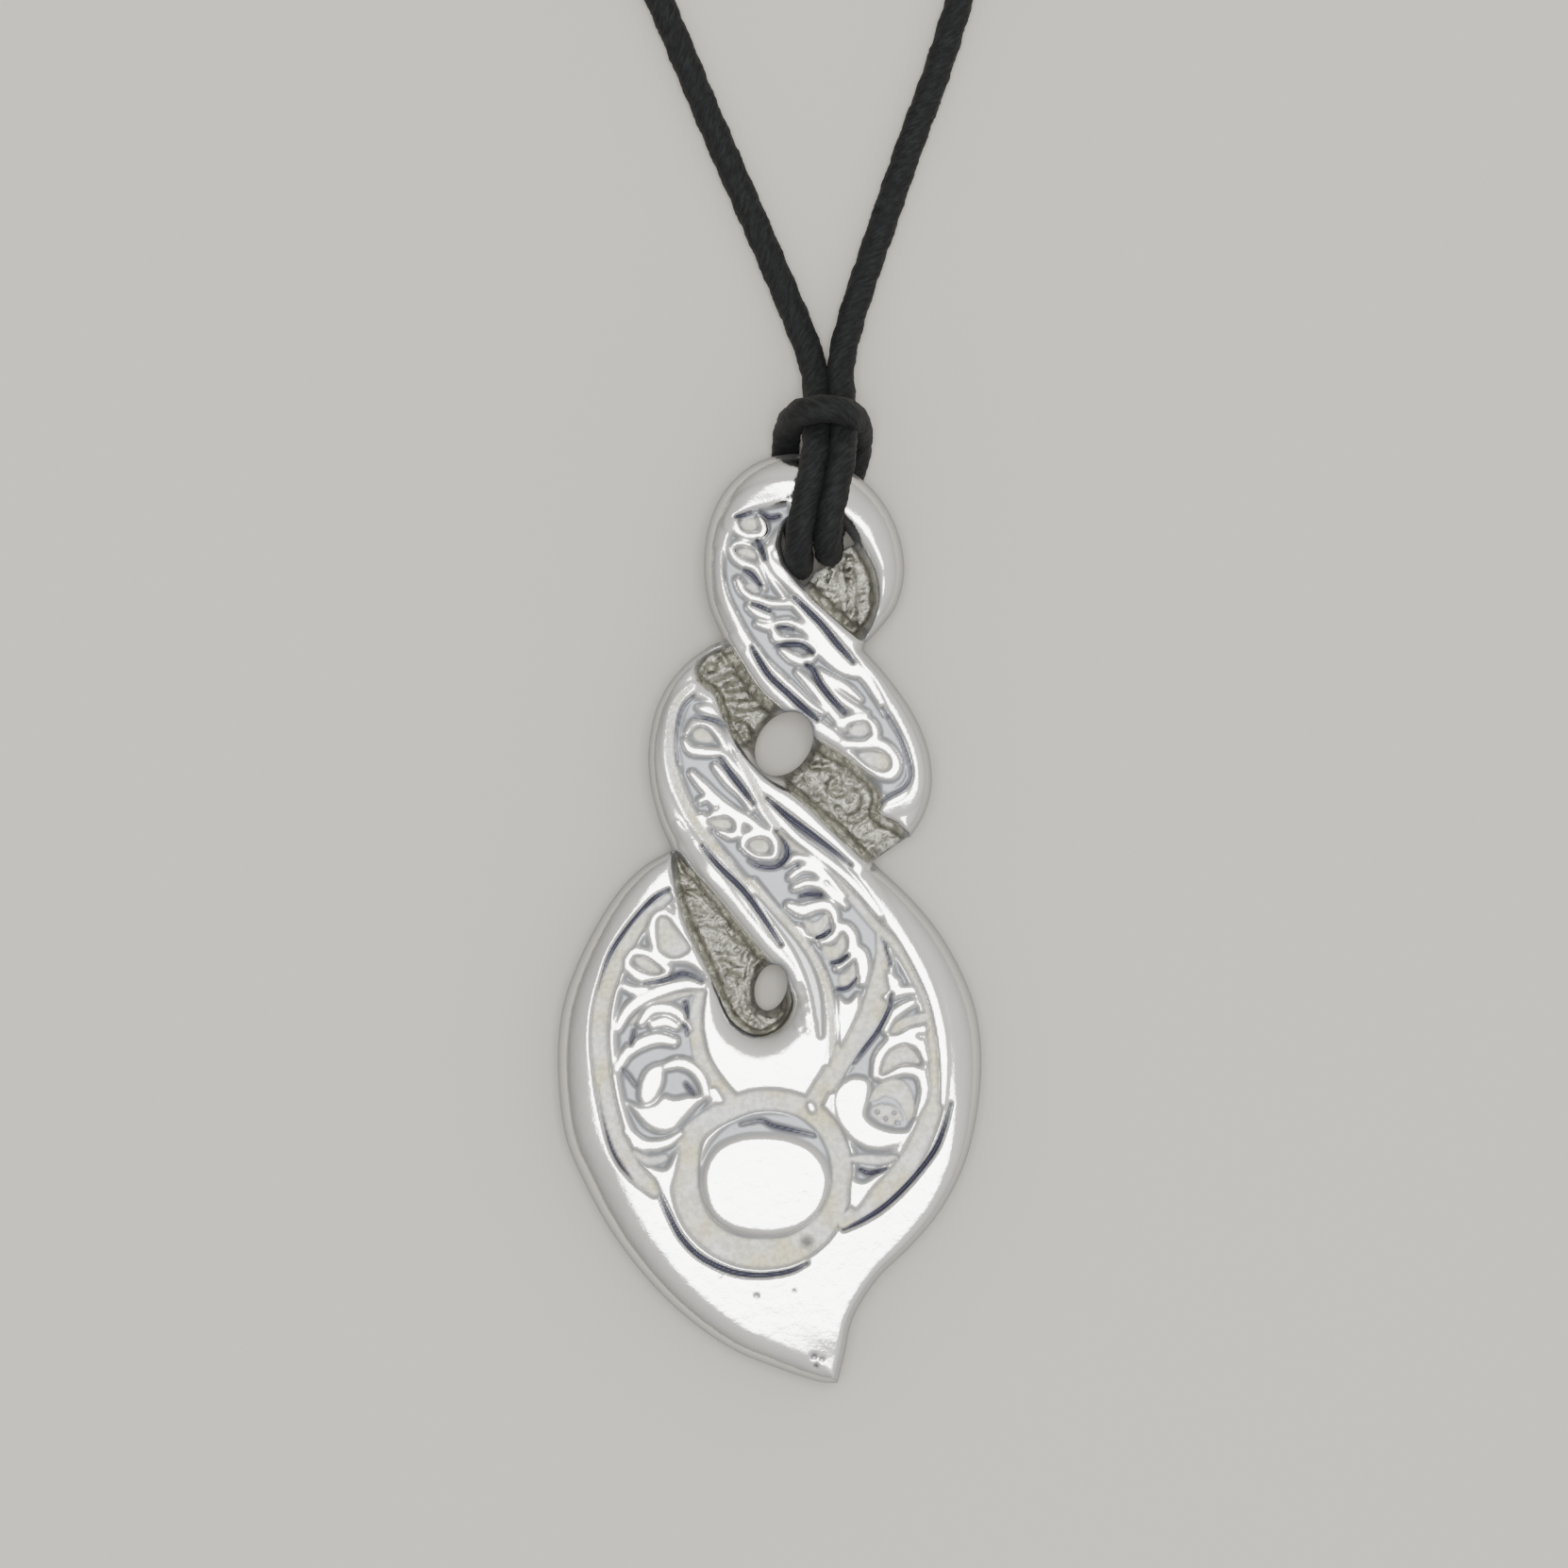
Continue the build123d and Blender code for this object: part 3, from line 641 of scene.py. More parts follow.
def nearest(lines, x, y):
    """Distance from points to the nearest line, with that line's third column, 0 if it has none."""
    start = np.vstack([line[:-1] for line in lines])
    end = np.vstack([line[1:] for line in lines])
    if start.shape[1] < 3:
        start, end = (np.hstack([a, np.zeros((len(a), 1))]) for a in (start, end))
    along = end - start
    squared = np.maximum((along[:, :2] ** 2).sum(1), 1e-9)
    flat = np.column_stack([x.ravel(), y.ravel()])
    gap, extra = np.empty(len(flat)), np.empty(len(flat))
    chunk = max(1, PAIRS_AT_ONCE // len(start))
    for first in range(0, len(flat), chunk):
        points = flat[first:first + chunk]
        away = points[:, None, :] - start[None, :, :2]
        share = np.clip((away * along[:, :2]).sum(2) / squared, 0, 1)
        reach = np.hypot(away[..., 0] - share * along[:, 0], away[..., 1] - share * along[:, 1])
        best = reach.argmin(1)
        pick = np.arange(len(points))
        gap[first:first + chunk] = reach[pick, best]
        extra[first:first + chunk] = start[best, 2] + share[pick, best] * along[best, 2]
    return gap.reshape(x.shape), extra.reshape(x.shape)


def inside(lines, x, y):
    """Whether points lie inside closed lines, by counting the sides that a ray crosses."""
    crossings = np.zeros(x.shape, int)
    for line in lines:
        for (xa, ya), (xb, yb) in zip(line[:-1, :2], line[1:, :2]):
            if ya != yb:
                level = (ya > y) != (yb > y)
                crossings += level & (x < (xb - xa) * (y - ya) / (yb - ya) + xa)
    return crossings % 2 == 1


def depth_inside(lines, x, y):
    """Distance inside closed lines, less than zero outside, with the third column."""
    gap, extra = nearest(lines, x, y)
    return np.where(inside(lines, x, y), gap, -gap), extra


def spread(controls, x, y):
    """A value spread smoothly between control rows of pixel across, pixel down and value."""
    soft_px, power = 12, 3.5
    total, weights = np.zeros(x.shape), np.zeros(x.shape)
    for across, down, value in controls:
        weight = 1 / (np.hypot(x - across, y - down) + soft_px) ** power
        total += weight * value
        weights += weight
    return total / weights


def blur(values, times):
    """Rounds a grid of values with its neighbours."""
    for _ in range(times):
        padded = np.pad(values, 1, mode="edge")
        values = (padded[:-2, 1:-1] + padded[2:, 1:-1] + padded[1:-1, :-2] + padded[1:-1, 2:]
                  + 4 * padded[1:-1, 1:-1]) / 8
    return values


class Bands:
    """The bands, grounds and holes of the casting, before the relief is cut.

    A band's edge falls steeply over wall_px pixels, at wall_slope to one, and its shoulder rounds
    off by shoulder_drop of the shoulder's width. The ground sinks by rim_drop millimetres over
    rim_px pixels towards a hole.
    """

    wall_px = 3.0
    wall_slope = 3.6
    shoulder_drop = 0.72
    rim_px = 9
    rim_drop = 0.5
    no_ground = -9.0

    def __init__(self):
        self.upper = [stretch_line(UPPER_BAND), stretch_line(EYE)]
        self.lower = [stretch_line(LOWER_BAND), stretch_line(CAVITY)]
        self.ground = [np.array(outline, float) for outline in ROUGH_GROUND]
        self.holes = [oval_line(*row) for row in HOLES]

    def band(self, outline, window, tops, x, y):
        """Height of one band, and how far inside it each point lies."""
        drop, depth = np.zeros(x.shape), np.full(x.shape, 1e9)
        for line, side in ((outline, 1), (window, -1)):
            inward, shoulder = depth_inside([line], x, y)
            inward = side * inward
            share = np.clip((inward - self.wall_px) / np.maximum(shoulder, 1), 0, 1)
            fall = self.shoulder_drop * shoulder * PX_MM * (1 - np.sqrt(1 - (1 - share) ** 2))
            fall += self.wall_slope * np.maximum(0, self.wall_px - inward) * PX_MM
            drop, depth = np.maximum(drop, fall), np.minimum(depth, inward)
        return spread(tops, x, y) - drop, depth

    def heights(self, x, y):
        """Height in millimetres, distance inside the whole outline, and what is rough ground."""
        upper, upper_depth = self.band(*self.upper, UPPER_TOPS, x, y)
        lower, lower_depth = self.band(*self.lower, LOWER_TOPS, x, y)
        ground_depth, _ = depth_inside(self.ground, x, y)
        hole_depth, _ = depth_inside(self.holes, x, y)
        rim = np.clip(1 + hole_depth / self.rim_px, 0, 1)
        ground = GROUND_TOP_MM - self.rim_drop * rim ** 2
        ground = np.where(ground_depth > -2, ground, self.no_ground)
        height = np.maximum(np.maximum(upper, lower), ground)
        solid = np.maximum(np.maximum(upper_depth, lower_depth), ground_depth)
        is_ground = (ground > np.maximum(upper, lower)).astype(float)
        return height, np.minimum(solid, -hole_depth), is_ground

    def by_ground(self, x, y):
        """Whether points lie over the rough ground or close beside it."""
        depth, _ = depth_inside(self.ground, x, y)
        return (depth > -4).astype(float)

    def to_edge(self, x, y):
        """Moves points near the outline onto it, along the slope of their distance inside."""
        for _ in range(2):
            _, depth, _ = self.heights(x, y)
            slope_x = self.heights(x + 0.5, y)[1] - self.heights(x - 0.5, y)[1]
            slope_y = self.heights(x, y + 0.5)[1] - self.heights(x, y - 0.5)[1]
            steep = np.maximum(slope_x ** 2 + slope_y ** 2, 0.4)
            x, y = x - depth * slope_x / steep, y - depth * slope_y / steep
        return x, y


class Face:
    """The casting's face as a grid over photo pixels, with the marks that its material reads.

    The floors are levels of the relief in millimetres.
    """

    limits = (584, 474, 1046, 1474)
    channel_floor = -0.34
    hollow_floor = -0.30
    cut_floor = -0.55

    def __init__(self, spacing):
        left, top, right, bottom = self.limits
        self.spacing = spacing
        self.columns = int((right - left) / spacing) + 1
        self.rows = int((bottom - top) / spacing) + 1
        self.x, self.y = np.meshgrid(left + spacing * np.arange(self.columns),
                                     top + spacing * np.arange(self.rows))
        self.relief = np.zeros(self.x.shape)
        self.patina, self.oxide_and_shade = np.zeros(self.x.shape), np.zeros(self.x.shape)

    def around(self, line, reach):
        """The part of the grid that lies within reach of a line."""
        left, top = self.limits[:2]
        low, high = line[:, :2].min(0) - reach, line[:, :2].max(0) + reach
        return (slice(max(0, int((low[1] - top) / self.spacing)),
                      int((high[1] - top) / self.spacing) + 2),
                slice(max(0, int((low[0] - left) / self.spacing)),
                      int((high[0] - left) / self.spacing) + 2))

    def along(self, rows, margin):
        """The grid near a line of varying half width, the distance to it and its half width."""
        line = smooth_line(rows)
        part = self.around(line, line[:, 2].max() + margin + 2)
        return part, *nearest([line], self.x[part], self.y[part])

    def within(self, outline):
        """The grid near a closed outline, and how far inside each point lies."""
        line = closed_line(outline)
        part = self.around(line, 8)
        depth, _ = depth_inside([line], self.x[part], self.y[part])
        return part, depth

    def shape(self, part, share, level):
        """Moves the relief towards a level, all the way where the share is 1."""
        ease = share * share * (3 - 2 * share)
        self.relief[part] += (level - self.relief[part]) * ease
        return ease

    def lumps(self, bumpy):
        """Heights of the rough grounds' lumps and ledges, in millimetres."""
        raised = np.full(self.x.shape, -1.0)
        for level, rows in LUMPS:
            part, gap, half = self.along(rows, 4)
            share = np.clip((half + 3 - gap) / (half + 3), 0, 1)
            crest = (0.45 * level + 0.9 * bumpy[part]) * np.sin(0.5 * np.pi * share)
            raised[part] = np.where(share > 0, np.maximum(raised[part], crest), raised[part])
        return raised

    def dull(self, part, share, skin=1.0):
        """Leaves dull skin where the share is high, in part where skin is below 1."""
        left = skin * np.clip(1.6 * share - 0.6, 0, 1)
        self.patina[part] = np.maximum(self.patina[part], left)

    def stain(self, part, dark):
        """Leaves dark oxide."""
        self.oxide_and_shade[part] = np.maximum(self.oxide_and_shade[part], dark)

    def carve(self):
        """Cuts and raises the whole relief, in the order that a carver would."""
        for level, slope, outline in FIELDS:
            part, depth = self.within(outline)
            self.shape(part, np.clip(depth / slope, 0, 1), level)
        for rows in CHANNELS:
            part, gap, half = self.along(rows, 3)
            share = np.clip((half + 2 - gap) / 5, 0, 1)
            self.shape(part, share, self.channel_floor)
            self.dull(part, share)
        for level, rows in RIDGES:
            part, gap, half = self.along(rows, 4)
            ease = self.shape(part, np.clip((half + 3 - gap) / (0.35 * half + 2.2), 0, 1), level)
            self.patina[part] *= 1 - ease
        for level, edge, outline in PADS:
            part, depth = self.within(outline)
            ease = self.shape(part, np.clip((depth + 2.5) / edge, 0, 1), level)
            self.patina[part] *= 1 - ease
        for outline in HOLLOWS:
            part, depth = self.within(outline)
            share = np.clip((depth + 1) / 4, 0, 1)
            self.shape(part, share, self.hollow_floor)
            self.dull(part, share)
        for level, skin, rows in STRIPES:
            part, gap, half = self.along(rows, 2)
            share = np.clip((half + 1 - gap) / 2.5, 0, 1)
            self.shape(part, share, level)
            self.dull(part, share, skin)
        for rows in CUTS:
            part, gap, half = self.along(rows, 2)
            reach = 0.72 * half + 0.8
            share = np.clip((reach - gap) / reach, 0, 1)
            self.shape(part, share ** 0.8, self.cut_floor)
            dark = np.clip(share * 2.2 - 0.5, 0, 1) * np.clip(half / 2.8, 0.4, 1)
            self.stain(part, dark)
        for across, down, radius, rise in SPOTS:
            part = self.around(np.array([[across, down]], float), radius + 2)
            share = np.clip(1 - np.hypot(self.x[part] - across, self.y[part] - down) / radius, 0, 1)
            self.relief[part] += rise * np.sin(0.5 * np.pi * share)
            if rise < 0:
                self.stain(part, 0.8 * np.clip(1.5 * share, 0, 1))
            else:
                self.patina[part] *= 1 - np.clip(3 * share, 0, 1)
        self.relief = blur(self.relief, 1)


def rough_height(across, down):
    """The rough ground's crumbly surface, in millimetres."""
    place = Vector((across / 12, down / 9, 0))
    coarse = noise.turbulence(place, 4, False, noise_basis="PERLIN_ORIGINAL")
    fine = noise.noise(Vector((across / 5, down / 4, 3)))
    ledge = math.sin(down / 3.2 + 1.5 * noise.noise(Vector((across / 22, down / 30, 7))))
    return 0.16 * coarse + 0.07 * fine + 0.012 * ledge


class PendantLook(bpy.types.PropertyGroup):
    """Sizes and colours of the casting."""
    grid_px: bpy.props.FloatProperty(
        name="Grid", description="Spacing of the face's grid, in photo pixels", default=1.76)
    polished: bpy.props.StringProperty(
        name="Polished metal", description="Colour of the polished pewter", default="#E6E5E2")
    satin: bpy.props.StringProperty(
        name="Satin metal", description="Colour of the sunk fields", default="#9C9EA3")
    patina: bpy.props.StringProperty(
        name="Matte metal", description="Colour of the dull recesses", default="#FFFFFC")
    cream: bpy.props.StringProperty(
        name="Cream metal", description="Colour of the recesses' stained parts", default="#EEE6C6")
    ground: bpy.props.StringProperty(
        name="Rough metal", description="Colour of the rough grounds", default="#AEACA0")
    ground_dark: bpy.props.StringProperty(
        name="Dark rough metal", description="Colour of the grounds' low parts", default="#62615A")
    # Also the colour of the painted shade down the edge and in the hollows
    oxide_and_shade: bpy.props.StringProperty(
        name="Oxide", description="Colour of the dark cuts", default="#3E3D50")


class CordLook(bpy.types.PropertyGroup):
    """Sizes and colours of the cord."""
    diameter: bpy.props.FloatProperty(
        name="Diameter", description="Thickness of the cord", default=1.5 * MM, unit="LENGTH")
    colour: bpy.props.StringProperty(
        name="Colour", description="Colour of the waxed cotton", default="#060708")
    # Painted highlight: the colour of the raised fibres that catch the light
    fibre_highlight: bpy.props.StringProperty(
        name="Fibre", description="Colour of the fibres that catch the light", default="#2B2E30")


class StageLook(bpy.types.PropertyGroup):
    """The floor, the light and the camera."""
    floor: bpy.props.StringProperty(
        name="Floor", description="Colour of the pale floor", default="#D8D3CA")
    camera_height: bpy.props.FloatProperty(
        name="Camera height", description="Height of the camera over the face",
        default=0.4, unit="LENGTH")


def recess_skin(tree, place, look):
    """The dull skin of the recesses, cream and grey with specks."""
    # It drifts between cream and grey over about 2 mm
    drift = add(tree, "ShaderNodeTexNoise", {"Vector": place, "Scale": 0.52 / MM, "Detail": 2.0})
    cream = add(tree, "ShaderNodeMapRange", {"Value": drift.outputs["Fac"], "From Min": 0.36,
                                             "From Max": 0.68})
    skin = add(tree, "ShaderNodeMix", {"Factor": cream.outputs["Result"],
                                       "A": to_linear(look.patina),
                                       "B": to_linear(look.cream)}, data_type="RGBA")
    # Its specks are about 0.3 mm wide
    specks = add(tree, "ShaderNodeTexNoise", {"Vector": place, "Scale": 3.6 / MM, "Detail": 2.0})
    fleck = add(tree, "ShaderNodeMapRange", {"Value": specks.outputs["Fac"], "From Min": 0.4,
                                             "From Max": 0.6, "To Min": 0.86, "To Max": 1.15})
    flecked = add(tree, "ShaderNodeMix", {"Factor": 1.0, "A": skin.outputs["Result"],
                                          "B": fleck.outputs["Result"]},
                  data_type="RGBA", blend_type="MULTIPLY")
    return flecked.outputs["Result"]


def pewter_colour(tree, place, look, crumbs, marks):
    """The casting's colour: bare metal, satin fields, dull recesses, rough grounds, oxide and
    painted shade.
    """
    patina, oxide_and_shade, ground, satin = marks
    tone = add(tree, "ShaderNodeMapRange", {"Value": crumbs, "From Min": 0.3, "From Max": 0.7})
    earth = add(tree, "ShaderNodeMix", {"Factor": tone.outputs["Result"],
                                        "A": to_linear(look.ground_dark),
                                        "B": to_linear(look.ground)}, data_type="RGBA")
    colour = to_linear(look.polished)
    # The last mark lays the cuts' oxide together with the painted shade of the edge and the hollows
    for share, over in ((satin, to_linear(look.satin)), (patina, recess_skin(tree, place, look)),
                        (ground, earth.outputs["Result"]), (oxide_and_shade, to_linear(look.oxide_and_shade))):
        colour = add(tree, "ShaderNodeMix", {"Factor": share, "A": colour, "B": over},
                     data_type="RGBA").outputs["Result"]
    return colour


def weighted(tree, start, terms):
    """A start value with each mark added by its weight, kept between 0 and 1."""
    for mark, weight in terms:
        start = add(tree, "ShaderNodeMath", {0: mark, 1: weight, 2: start},
                    operation="MULTIPLY_ADD", use_clamp=True).outputs[0]
    return start


def pewter_material(look):
    """Cast pewter: tin cast in a rubber mould, dipped in dark oxide and polished again.

    The polished tops mirror the soft light, the sunk fields stay satin, the recesses keep a dull
    cream-grey skin, the cuts keep the dark oxide and the grounds between the strands are as cast.
    The same dark mark also lays painted shade down the edge and in the hollows.
    """
    material, tree = new_material("cast_pewter")
    place = add(tree, "ShaderNodeTexCoord").outputs["Object"]
    marks = [add(tree, "ShaderNodeAttribute", attribute_name=name).outputs["Fac"]
             for name in MARKS]
    patina, _, ground, satin = marks
    # Slight waviness of the polished skin, about 1 mm from crest to crest
    waves = add(tree, "ShaderNodeTexNoise",
                {"Vector": place, "Scale": 1.0 / MM, "Detail": 4.0, "Roughness": 0.6})
    # Casting grain of about 0.15 mm in the recesses
    grain = add(tree, "ShaderNodeTexNoise",
                {"Vector": place, "Scale": 6.5 / MM, "Detail": 3.0, "Roughness": 0.6})
    # Crumbs of the rough grounds, about 0.4 mm
    crumbs = add(tree, "ShaderNodeTexNoise", {"Vector": place, "Scale": 2.3 / MM, "Detail": 4.0,
                                              "Roughness": 0.6, "Distortion": 0.6})
    gloss = add(tree, "ShaderNodeMapRange", {"Value": satin, "To Min": 0.15, "To Max": 0.42})
    roughness = weighted(tree, gloss.outputs["Result"], [(patina, 0.08), (ground, 0.2)])
    # Oxide skin hides part of the metal in the fields, most of it in the recesses
    metal = weighted(tree, 1.0, [(satin, -0.4), (ground, -0.2), (patina, -0.8)])
    normal = None
    for strength, depth, pattern in ((1.0, 0.03 * MM, waves),
                                     (weighted(tree, 0.05, [(patina, 0.85)]), 0.12 * MM, grain),
                                     (ground, 0.09 * MM, crumbs)):
        bump = add(tree, "ShaderNodeBump", {"Strength": strength, "Distance": depth,
                                            "Height": pattern.outputs["Fac"]})
        if normal:
            tree.links.new(normal, bump.inputs["Normal"])
        normal = bump.outputs["Normal"]
    shader = add(tree, "ShaderNodeBsdfPrincipled",
                 {"Base Color": pewter_colour(tree, place, look, crumbs.outputs["Fac"], marks),
                  "Metallic": metal, "Roughness": roughness, "Normal": normal})
    add(tree, "ShaderNodeOutputMaterial", {"Surface": shader.outputs["BSDF"]})
    return material


def cord_material(look, name, pattern):
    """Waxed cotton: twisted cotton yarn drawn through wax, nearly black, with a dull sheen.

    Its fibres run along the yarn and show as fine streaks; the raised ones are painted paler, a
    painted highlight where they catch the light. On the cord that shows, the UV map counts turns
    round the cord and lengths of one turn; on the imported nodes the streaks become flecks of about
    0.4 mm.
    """
    material, tree = new_material(name)
    coordinates = add(tree, "ShaderNodeTexCoord").outputs[pattern]
    stretch = (22.0, 9.0, 1.0) if pattern == "UV" else [2.5 / MM] * 3
    streaks_at = add(tree, "ShaderNodeMapping", {"Vector": coordinates, "Scale": stretch})
    streaks = add(tree, "ShaderNodeTexNoise", {"Vector": streaks_at.outputs["Vector"],
                                               "Scale": 1.0, "Detail": 4.0, "Roughness": 0.65})
    ramp = add(tree, "ShaderNodeMapRange", {"Value": streaks.outputs["Fac"], "From Min": 0.42,
                                            "From Max": 0.85})
    # Painted highlight: the raised fibres, where the bump is high, are tinted paler
    tint = add(tree, "ShaderNodeMix", {"Factor": ramp.outputs["Result"],
                                       "A": to_linear(look.colour),
                                       "B": to_linear(look.fibre_highlight)}, data_type="RGBA")
    bump = add(tree, "ShaderNodeBump", {"Strength": 0.9, "Distance": 0.12 * MM,
                                        "Height": streaks.outputs["Fac"]})
    shader = add(tree, "ShaderNodeBsdfPrincipled",
                 {"Base Color": tint.outputs["Result"], "Roughness": 0.72, "IOR": 1.4,
                  "Sheen Weight": 0.02, "Sheen Roughness": 0.5,
                  "Normal": bump.outputs["Normal"]})
    add(tree, "ShaderNodeOutputMaterial", {"Surface": shader.outputs["BSDF"]})
    return material


def floor_material(look):
    """Matt painted board: a plain pale floor."""
    material, tree = new_material("pale_board")
    place = add(tree, "ShaderNodeTexCoord").outputs["Object"]
    mottle = add(tree, "ShaderNodeTexNoise", {"Vector": place, "Scale": 9.0, "Detail": 3.0})
    shade = add(tree, "ShaderNodeMapRange", {"Value": mottle.outputs["Fac"], "To Min": 0.96,
                                             "To Max": 1.0})
    colour = add(tree, "ShaderNodeMix", {"Factor": 1.0, "A": to_linear(look.floor),
                                         "B": shade.outputs["Result"]},
                 data_type="RGBA", blend_type="MULTIPLY")
    shader = add(tree, "ShaderNodeBsdfPrincipled",
                 {"Base Color": colour.outputs["Result"], "Roughness": 0.75})
    add(tree, "ShaderNodeOutputMaterial", {"Surface": shader.outputs["BSDF"]})
    return material


def new_object(name, mesh, material):
    """Links a mesh to the scene with its material."""
    made = bpy.data.objects.new(name, mesh)
    mesh.materials.append(material)
    bpy.context.scene.collection.objects.link(made)
    return made


def repaint(node, material):
    """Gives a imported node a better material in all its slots."""
    packed = bpy.data.objects[node]
    if not packed.material_slots:
        packed.data.materials.append(material)
    for slot in packed.material_slots:
        slot.material = material


def under_height(y):
    """Height of the casting's back, which is lifted behind the ring where the cord passes."""
    return TUNNEL_LIFT * min(1, max(0, (y - TUNNEL_START) / (TUNNEL_FULL - TUNNEL_START)))


def to_metres(across, down):
    """The place of a photo pixel in the frame."""
    return (across - OUTLINE_MIDDLE_PX[0]) * PX, (OUTLINE_MIDDLE_PX[1] - down) * PX


def face_grid(face, solid):
    """A flat mesh of the face, its cells outside the outline taken away."""
    bm = bmesh.new()
    bmesh.ops.create_grid(bm, x_segments=face.columns - 1, y_segments=face.rows - 1, size=1)
    column, row = bm.verts.layers.int.new("column"), bm.verts.layers.int.new("row")
    for vert in bm.verts:
        vert[column] = round((vert.co.x + 1) / 2 * (face.columns - 1))
        vert[row] = round((1 - vert.co.y) / 2 * (face.rows - 1))
    limit = -0.35 * face.spacing
    outside = [f for f in bm.faces if any(solid[v[row], v[column]] < limit for v in f.verts)]
    bmesh.ops.delete(bm, geom=outside, context="FACES")
    return bm, column, row


def place_face(bm, face, bands, layers):
    """Lifts the face's vertices to their heights and puts its edge on the true outline."""
    column, row, *marks = layers
    values = [getattr(face, name) for name in MARKS]
    edge = [v for v in bm.verts if v.is_boundary]
    edge_x = np.array([face.x[v[row], v[column]] for v in edge])
    edge_y = np.array([face.y[v[row], v[column]] for v in edge])
    edge_x, edge_y = bands.to_edge(edge_x, edge_y)
    edge_height, _, _ = bands.heights(edge_x, edge_y)
    for vert in bm.verts:
        at = (vert[row], vert[column])
        for mark, value in zip(marks, values):
            vert[mark] = float(value[at])
        vert.co = (*to_metres(face.x[at], face.y[at]), face.height[at] * MM)
    for vert, across, down, high in zip(edge, edge_x, edge_y, edge_height):
        x, y = to_metres(across, down)
        vert.co = (x, y, max(high * MM, under_height(y) + LEAST_EDGE))


def edge_loop_down(bm, edges, height_at):
    """Extrudes boundary edges down to a new height and returns the new edges."""
    made = bmesh.ops.extrude_edge_only(bm, edges=edges)["geom"]
    new_edges = [g for g in made if isinstance(g, bmesh.types.BMEdge) and g.is_boundary]
    for vert in {v for e in new_edges for v in e.verts}:
        vert.co.z = height_at(vert.co)
    return new_edges


def finish_face(face, bands):
    """Sets the face's heights and marks from its relief. Returns the distance inside its edge."""
    height, solid, is_ground = bands.heights(face.x, face.y)
    height += (blur(height, 4) - height) * np.clip((solid - 5) / 6, 0, 1)
    bumpy = np.zeros(face.x.shape)
    for at in zip(*np.nonzero((is_ground > 0) & (solid > -3))):
        bumpy[at] = rough_height(face.x[at], face.y[at])
    bumpy = np.maximum(0.6 * bumpy, face.lumps(bumpy))
    height = height + face.relief * (1 - is_ground) + bumpy * is_ground * np.clip(solid / 5, 0, 1)
    face.height = np.minimum(height, CAST_TOP_MM - 0.01)
    # Oxide is left in the grounds' low spots. In the hollows the darkening is partly oxide and
    # partly painted shade, and down the edge it is painted shade.
    # Partly oxide, partly painted shade: darker where the face lies below its blurred surroundings
    hollow = np.clip((blur(height, 14) - height) * 2.2 - 0.2, 0, 1) * (solid > 3)
    left = 0.2 * hollow * (1 - is_ground) + np.clip(-2 * bumpy, 0, 0.3) * is_ground
    # Painted shade down the edge: the last 9 pixels in from the outline darken towards it, and also
    # take the side's duller satin skin
    side = np.clip((9 - solid) / 9, 0, 1) ** 1.5
    face.oxide_and_shade = np.maximum(np.maximum(face.oxide_and_shade, left), 0.32 * side)
    face.satin = np.maximum(np.clip((-face.relief - 0.03) / 0.12, 0, 1), side)
    # The foot of a band beside the ground is as rough as the ground
    foot = np.clip((GROUND_TOP_MM + 0.7 - height) / 0.4, 0, 1) * bands.by_ground(face.x, face.y)
    face.ground = blur(np.maximum(is_ground, foot), 1)
    return solid


def close_back(bm, rim):
    """Draws walls down from the face's edges and closes them with the hollowed back."""
    rim = edge_loop_down(bm, rim, lambda co: under_height(co.y) + WALL_FOOT)
    rim = edge_loop_down(bm, rim, lambda co: 0.0)
    bmesh.ops.triangle_fill(bm, use_beauty=True, edges=rim, normal=(0, 0, -1))
    for y in (TUNNEL_START, TUNNEL_FULL):
        flat = [f for f in bm.faces if all(abs(v.co.z) < 1e-9 for v in f.verts)]
        parts = {*flat, *(e for f in flat for e in f.edges), *(v for f in flat for v in f.verts)}
        bmesh.ops.bisect_plane(bm, geom=list(parts), plane_co=(0, y, 0), plane_no=(0, 1, 0))
    for vert in bm.verts:
        if abs(vert.co.z) < 1e-9:
            vert.co.z = under_height(vert.co.y)


def build_casting(look):
    """The whole casting as one closed mesh."""
    bands, face = Bands(), Face(look.grid_px)
    face.carve()
    solid = finish_face(face, bands)
    bm, column, row = face_grid(face, solid)
    marks = [bm.verts.layers.float.new(name) for name in MARKS]
    place_face(bm, face, bands, [column, row, *marks])
    rim = [e for e in bm.edges if e.is_boundary]
    # Painted shade on the edge: the rim's vertices get the dark mark, and the side's satin skin
    _, oxide_and_shade, _, satin = marks
    for vert in {v for e in rim for v in e.verts}:
        vert[oxide_and_shade], vert[satin] = 0.3, 1.0
    close_back(bm, rim)
    bmesh.ops.remove_doubles(bm, verts=bm.verts, dist=0.1 * face.spacing * PX)
    bmesh.ops.recalc_face_normals(bm, faces=bm.faces)
    for one in bm.faces:
        one.smooth = True
    mesh = bpy.data.meshes.new("cast_pendant")
    bm.to_mesh(mesh)
    bm.free()
    return mesh


def route_line(points):
    """The smooth line of a cord, read from a spline with the route's points as its controls."""
    data = bpy.data.curves.new("cord_route", "CURVE")
    data.dimensions = "3D"
    data.resolution_u = 24
    spline = data.splines.new("NURBS")
    spline.points.add(len(points) - 1)
    for control, point in zip(spline.points, points):
        control.co = (*point, 1)
    spline.order_u = 3
    spline.use_endpoint_u = True
    carrier = bpy.data.objects.new("cord_route", data)
    line = bpy.data.meshes.new_from_object(carrier)
    found = np.array([v.co[:] for v in line.vertices])
    bpy.data.objects.remove(carrier)
    bpy.data.meshes.remove(line)
    bpy.data.curves.remove(data)
    return found


def even_line(line, step):
    """The same line with its points an even step apart, and its length."""
    lengths = np.concatenate([[0], np.cumsum(np.linalg.norm(np.diff(line, axis=0), axis=1))])
    count = int(lengths[-1] / step) + 1
    at = np.linspace(0, lengths[-1], count)
    return np.column_stack([np.interp(at, lengths, line[:, k]) for k in range(3)]), at


